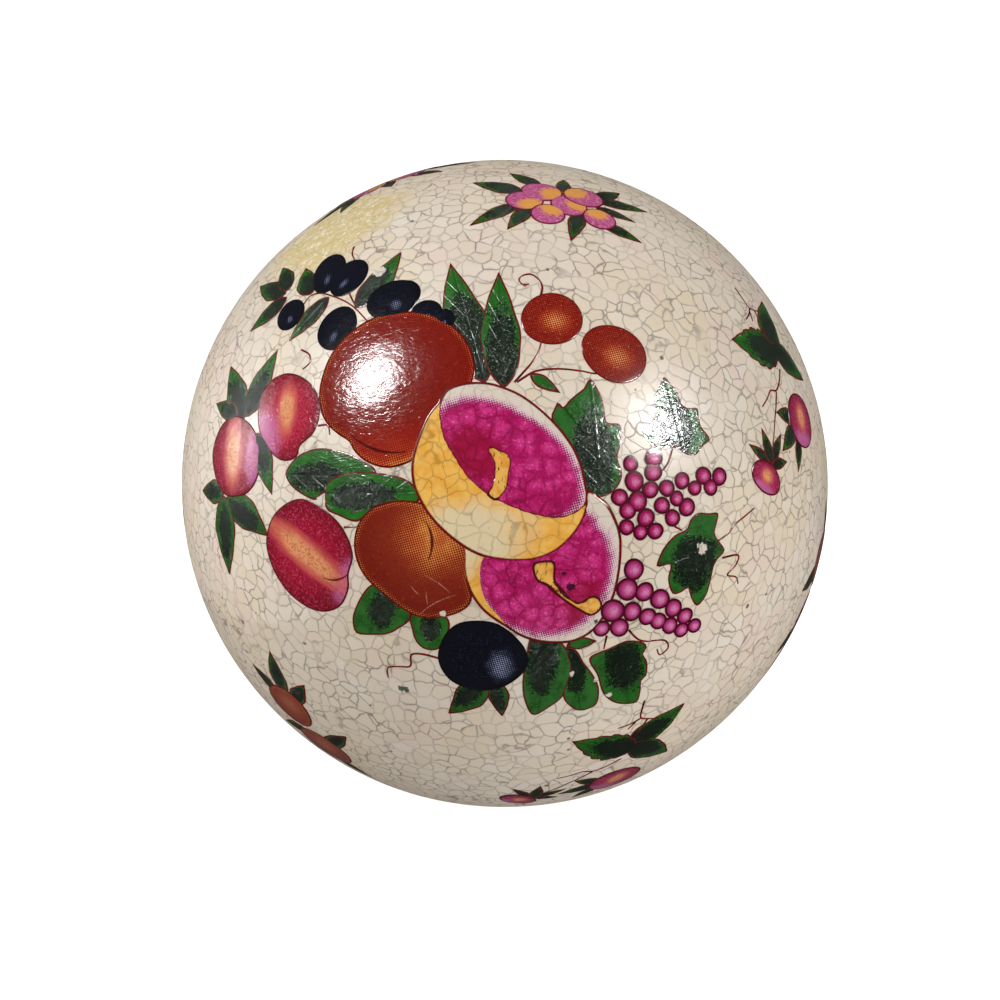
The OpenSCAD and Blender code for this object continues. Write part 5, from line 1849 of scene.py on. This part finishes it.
def make_finishes() -> dict[str, bpy.types.Material]:
    """Builds every material once and returns them by name."""
    prints = {
        "leaf": LeafPrint(chips=((-18.5, 31, 1.0),)),
        "leaf_broad": LeafPrint("leaf_print_broad", black=(0.4, -0.1, 0.32, 0.6),
                                chips=((-24.9, -2.4, 0.7),)),
        "leaf_round": LeafPrint("leaf_print_round", green=srgb(44, 116, 34), black=(0.42, 0.05, 0.3, 0.5)),
        "leaf_foot": LeafPrint("leaf_print_foot", green=srgb(46, 116, 38), black=(0.3, -0.05, 0.4, 0.66),
                               chips=((12.9, -27.6, 0.5), (9.3, -26.2, 0.4))),
        "leaf_plain": LeafPrint("leaf_print_plain", black=(0.0, 0.0, 0.1, 0.2)),
        "leaf_dull": LeafPrint("leaf_print_dull", green=srgb(44, 104, 36), black=(0.45, 0.0, 0.34, 0.62)),
        "vine": LeafPrint("vine_print", green=srgb(36, 112, 28), black=(0.36, 0.12, 0.36, 0.56),
                          chips=((27.4, -9, 0.9), (15.1, -30.3, 0.45))),
        "peach_big": PeachPrint(glow=(0.25, -1.0, 0.6, 0.3), crease=((-16.8, 4.4), (-14.2, 13.0), 4.6),
                                red=srgb(158, 32, 16)),
        "peach_small": PeachPrint("peach_print_small", glow=(0.3, 0.4, 0.55, 0.6), least=0.42,
                                  crease=((-9.3, -7.3), (-14.2, -7.6), 2.9), red=srgb(142, 44, 24),
                                  scratches=(((-9, -15.6), (-4, -24.2), 3.2),
                                             ((-10.2, -15), (-4, -14.6), 1.0),
                                             ((-11.7, -14.1), (-8, -10.6), 0.9),
                                             ((-8.6, -12.9), (-14, -20.6), 2.2)),
                                  chips=((-8.1, -17.1, 0.4),)),
        "little_peach": PeachPrint("little_peach_print", glow=(0.1, 0.2, 0.5, 0.5), least=0.6,
                                   red=srgb(152, 66, 44), ground=srgb(196, 128, 96)),
        "melon_skin_upper": MelonSkinPrint(),
        "melon_skin_lower": MelonSkinPrint("melon_skin_print_lower", pale=(-1.2, 0.3, 0.4, 0.4)),
        "melon_flesh_upper": FleshPrint(magenta=(-0.03, -0.2, 0.93, 0.92), deep=(-0.38, -0.45, 0.35, 0.5)),
        "melon_flesh_lower": FleshPrint("flesh_print_lower", magenta=(-0.08, 0.08, 0.92, 0.92),
                                        deep=(0.55, -0.45, 0.35, 0.4),
                                        smudges=((7.7, -11.7, 0.35), (8.7, -13.5, 0.55), (12.3, -18.4, 0.3))),
        "stalk": StalkPrint(),
        # Each plum's pale side below is a painted highlight.
        "plum_right": PlumPrint(stripe=(0.0, 0.14, 0.22, 0.45), painted_sheen=(-0.7, -0.45, 0.6, 0.7)),
        "plum_left": PlumPrint("plum_print_left", skin=srgb(168, 14, 50), stripe=(-0.05, 0.08, 0.26, 0.66),
                               painted_sheen=(0.8, -0.1, 0.4, 0.8)),
        "plum_low": PlumPrint("plum_print_low", skin=srgb(168, 14, 48), stripe=(0.0, 0.02, 0.22, 0.78),
                              painted_sheen=(0.2, -0.95, 0.6, 0.35), crease=((-22.8, -13.1), (-23.6, -9.4), 2.4)),
        "twig_plum": PlumPrint("plum_print_twig", skin=srgb(176, 44, 96), stripe=(0.0, 0.1, 0.3, 0.4),
                               painted_sheen=(0.0, -0.8, 0.9, 0.5)),
        "blue": BluePrint(),
        "damson": BluePrint("damson_print", bloom=(0.05, -0.35, 0.2, 0.26), light=0.44),
        "cherry": CherryPrint(),
        "grape": GrapePrint(),
        "grape_mauve": GrapePrint("grape_print_mauve", skin=srgb(194, 60, 132), core=srgb(230, 150, 194)),
        "line": LinePrint(),
        "berry": BerryPrint()}
    made = {key: value.build() for key, value in prints.items()}
    made["glaze"] = GlazeFinish().build()
    made["bisque"] = ClayFinish().build()
    made["slip"] = ClayFinish("joining_slip", srgb(186, 160, 132)).build()
    return made


# ---------------------------------------------------------------- studio


@dataclass(frozen=True)
class Softbox:
    """One soft light, placed from the camera's point of view.

    Attributes:
        name: Its name.
        toward: Direction from the ball: right, up, and towards the camera.
        size: Its width and height in metres.
        power: Its power in watts.
        shine: True for a light that only makes highlights, False for one that only lights.
    """

    name: str
    toward: tuple[float, float, float]
    size: tuple[float, float]
    power: float
    shine: bool = False

    def build(self, eye: Matrix) -> None:
        """Adds the light.

        Args:
            eye: The camera's turn.
        """
        data = bpy.data.lights.new(self.name, "AREA")
        data.shape = "ELLIPSE"
        data.size, data.size_y = self.size
        data.energy = self.power
        obj = bpy.data.objects.new(self.name, data)
        obj.visible_diffuse, obj.visible_glossy = not self.shine, self.shine
        away = (eye @ Vector(self.toward)).normalized()
        obj.location = away * LIGHT_AWAY
        obj.rotation_euler = away.to_track_quat("Z", "Y").to_euler()
        bpy.context.scene.collection.objects.link(obj)


@dataclass(frozen=True)
class Studio:
    """The camera, the lights and the pale floor.

    Attributes:
        distance: From the eye to the ball's centre, in metres.
        elevation: Height of the eye over the horizon, in degrees.
        lens: Focal length in millimetres on a 36 mm sensor.
        aim: Where it looks, right and up of the ball's centre, in metres.
    """

    distance: float = 0.4
    elevation: float = 15.0
    lens: float = 100.6
    aim: Point = (-0.00063, -0.00235)

    def build(self) -> None:
        """Sets the studio up."""
        scene = bpy.context.scene
        scene.view_settings.view_transform = "Standard"
        e = math.radians(self.elevation)
        back = Vector((0, -math.cos(e), math.sin(e)))
        turn = back.to_track_quat("Z", "Y").to_matrix()
        data = bpy.data.cameras.new("camera")
        data.lens, data.sensor_width, data.clip_start, data.clip_end = self.lens, 36.0, 0.01, 50.0
        data.dof.use_dof = False
        camera = bpy.data.objects.new("camera", data)
        camera.location = back * self.distance
        look = turn @ Vector((*self.aim, 0)) - camera.location
        camera.rotation_euler = look.to_track_quat("-Z", "Y").to_euler()
        scene.collection.objects.link(camera)
        scene.camera = camera
        for light in (Softbox("key_light", (-0.648, 0.536, 0.542), (0.32, 0.32), 1.4),
                      Softbox("fill_light", (0.733, 0.360, 0.577), (0.21, 0.21), 0.75),
                      Softbox("edge_light", (-0.963, 0.205, -0.173), (0.08, 0.3), 0.45),
                      Softbox("right_light", (0.95, -0.25, 0.2), (0.2, 0.3), 1.15),
                      Softbox("lower_left_light", (-0.55, -0.75, 0.35), (0.3, 0.3), 0.95),
                      Softbox("lower_right_light", (0.25, -0.86, 0.44), (0.4, 0.4), 1.3),
                      Softbox("key_shine", (-0.648, 0.536, 0.542), (0.15, 0.15), 14.0, True),
                      Softbox("fill_shine", (0.765, 0.300, 0.570), (0.13, 0.13), 6.5, True),
                      Softbox("edge_shine", (-0.963, 0.205, -0.173), (0.04, 0.18), 1.9, True)):
            light.build(turn)
        world = bpy.data.worlds.new("studio")
        scene.world = world
        world.use_nodes = True
        tree = world.node_tree
        tree.nodes.clear()
        path = tree.nodes.new("ShaderNodeLightPath")
        out = tree.nodes.new("ShaderNodeOutputWorld")
        seen: bpy.types.NodeSocket | None = None
        for ray, tint, strength in (("", (1.0, 0.99, 0.97, 1), 0.46),
                                    ("Is Glossy Ray", (1.0, 0.99, 0.97, 1), 0.07),
                                    ("Is Camera Ray", (1, 1, 1, 1), 1.0)):
            back_drop = tree.nodes.new("ShaderNodeBackground")
            back_drop.inputs[0].default_value, back_drop.inputs[1].default_value = tint, strength
            if seen is None:
                seen = back_drop.outputs[0]
                continue
            pick = tree.nodes.new("ShaderNodeMixShader")
            for source, target in ((path.outputs[ray], 0), (seen, 1), (back_drop.outputs[0], 2)):
                tree.links.new(source, pick.inputs[target])
            seen = pick.outputs[0]
        tree.links.new(seen, out.inputs[0])
        self._floor()

    def _floor(self) -> None:
        """Adds the pale floor."""
        bm = bmesh.new()
        bmesh.ops.create_circle(bm, cap_ends=True, radius=FLOOR_R, segments=96)
        bmesh.ops.translate(bm, verts=bm.verts, vec=(0, 0, FLOOR_Z))
        kit = Kit("pale_floor")
        grain = kit.noise(kit.place(), 40.0, 3.0)
        tone = kit.mix((0.93, 0.93, 0.93), (0.97, 0.97, 0.97), grain)
        shader = kit.node("ShaderNodeBsdfPrincipled", None, {
            "Base Color": tone, "Roughness": 0.9, "Emission Color": (1, 1, 1), "Emission Strength": 0.75})
        kit.node("ShaderNodeOutputMaterial", None, {0: shader.outputs[0]})
        floor = finish_piece("floor", bm, kit.material)
        floor.visible_glossy = floor.visible_diffuse = False


def hand_over(piece: bpy.types.Object, node: str) -> None:
    """Puts a piece in the frame and reports it.

    Args:
        piece: The piece.
        node: The CAD node that it stands for.
    """
    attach(piece, "root")
    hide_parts(node)
    LOG.info("%s: %d faces", piece.name, len(piece.data.polygons))


def main() -> None:
    """Builds the ball, its prints and the studio."""
    logging.basicConfig(level=logging.INFO, format="%(name)s: %(message)s")
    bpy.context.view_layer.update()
    finishes = make_finishes()
    coat = GlazeCoat()
    for index in range(coat.sectors):
        hand_over(coat.lune(index, finishes["glaze"]), "glaze_coat")
    groups: list[Transfer] = []
    for side in Side:
        groups += [Spray(side), CrownSprig(side), TwigSprig(side), TwigSprig(side, True),
                   PeachSprig(side), PeachSprig(side, True)]
    for group in groups:
        for made in group.build(finishes):
            hand_over(made.piece, made.node)
    for node, finish in (("upper_half_shell", "bisque"), ("lower_half_shell", "bisque"),
                         ("luting_seam", "slip")):
        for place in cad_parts[node].material_slots:
            place.material = finishes[finish]
    Studio().build()


if __name__ == "__main__":
    main()
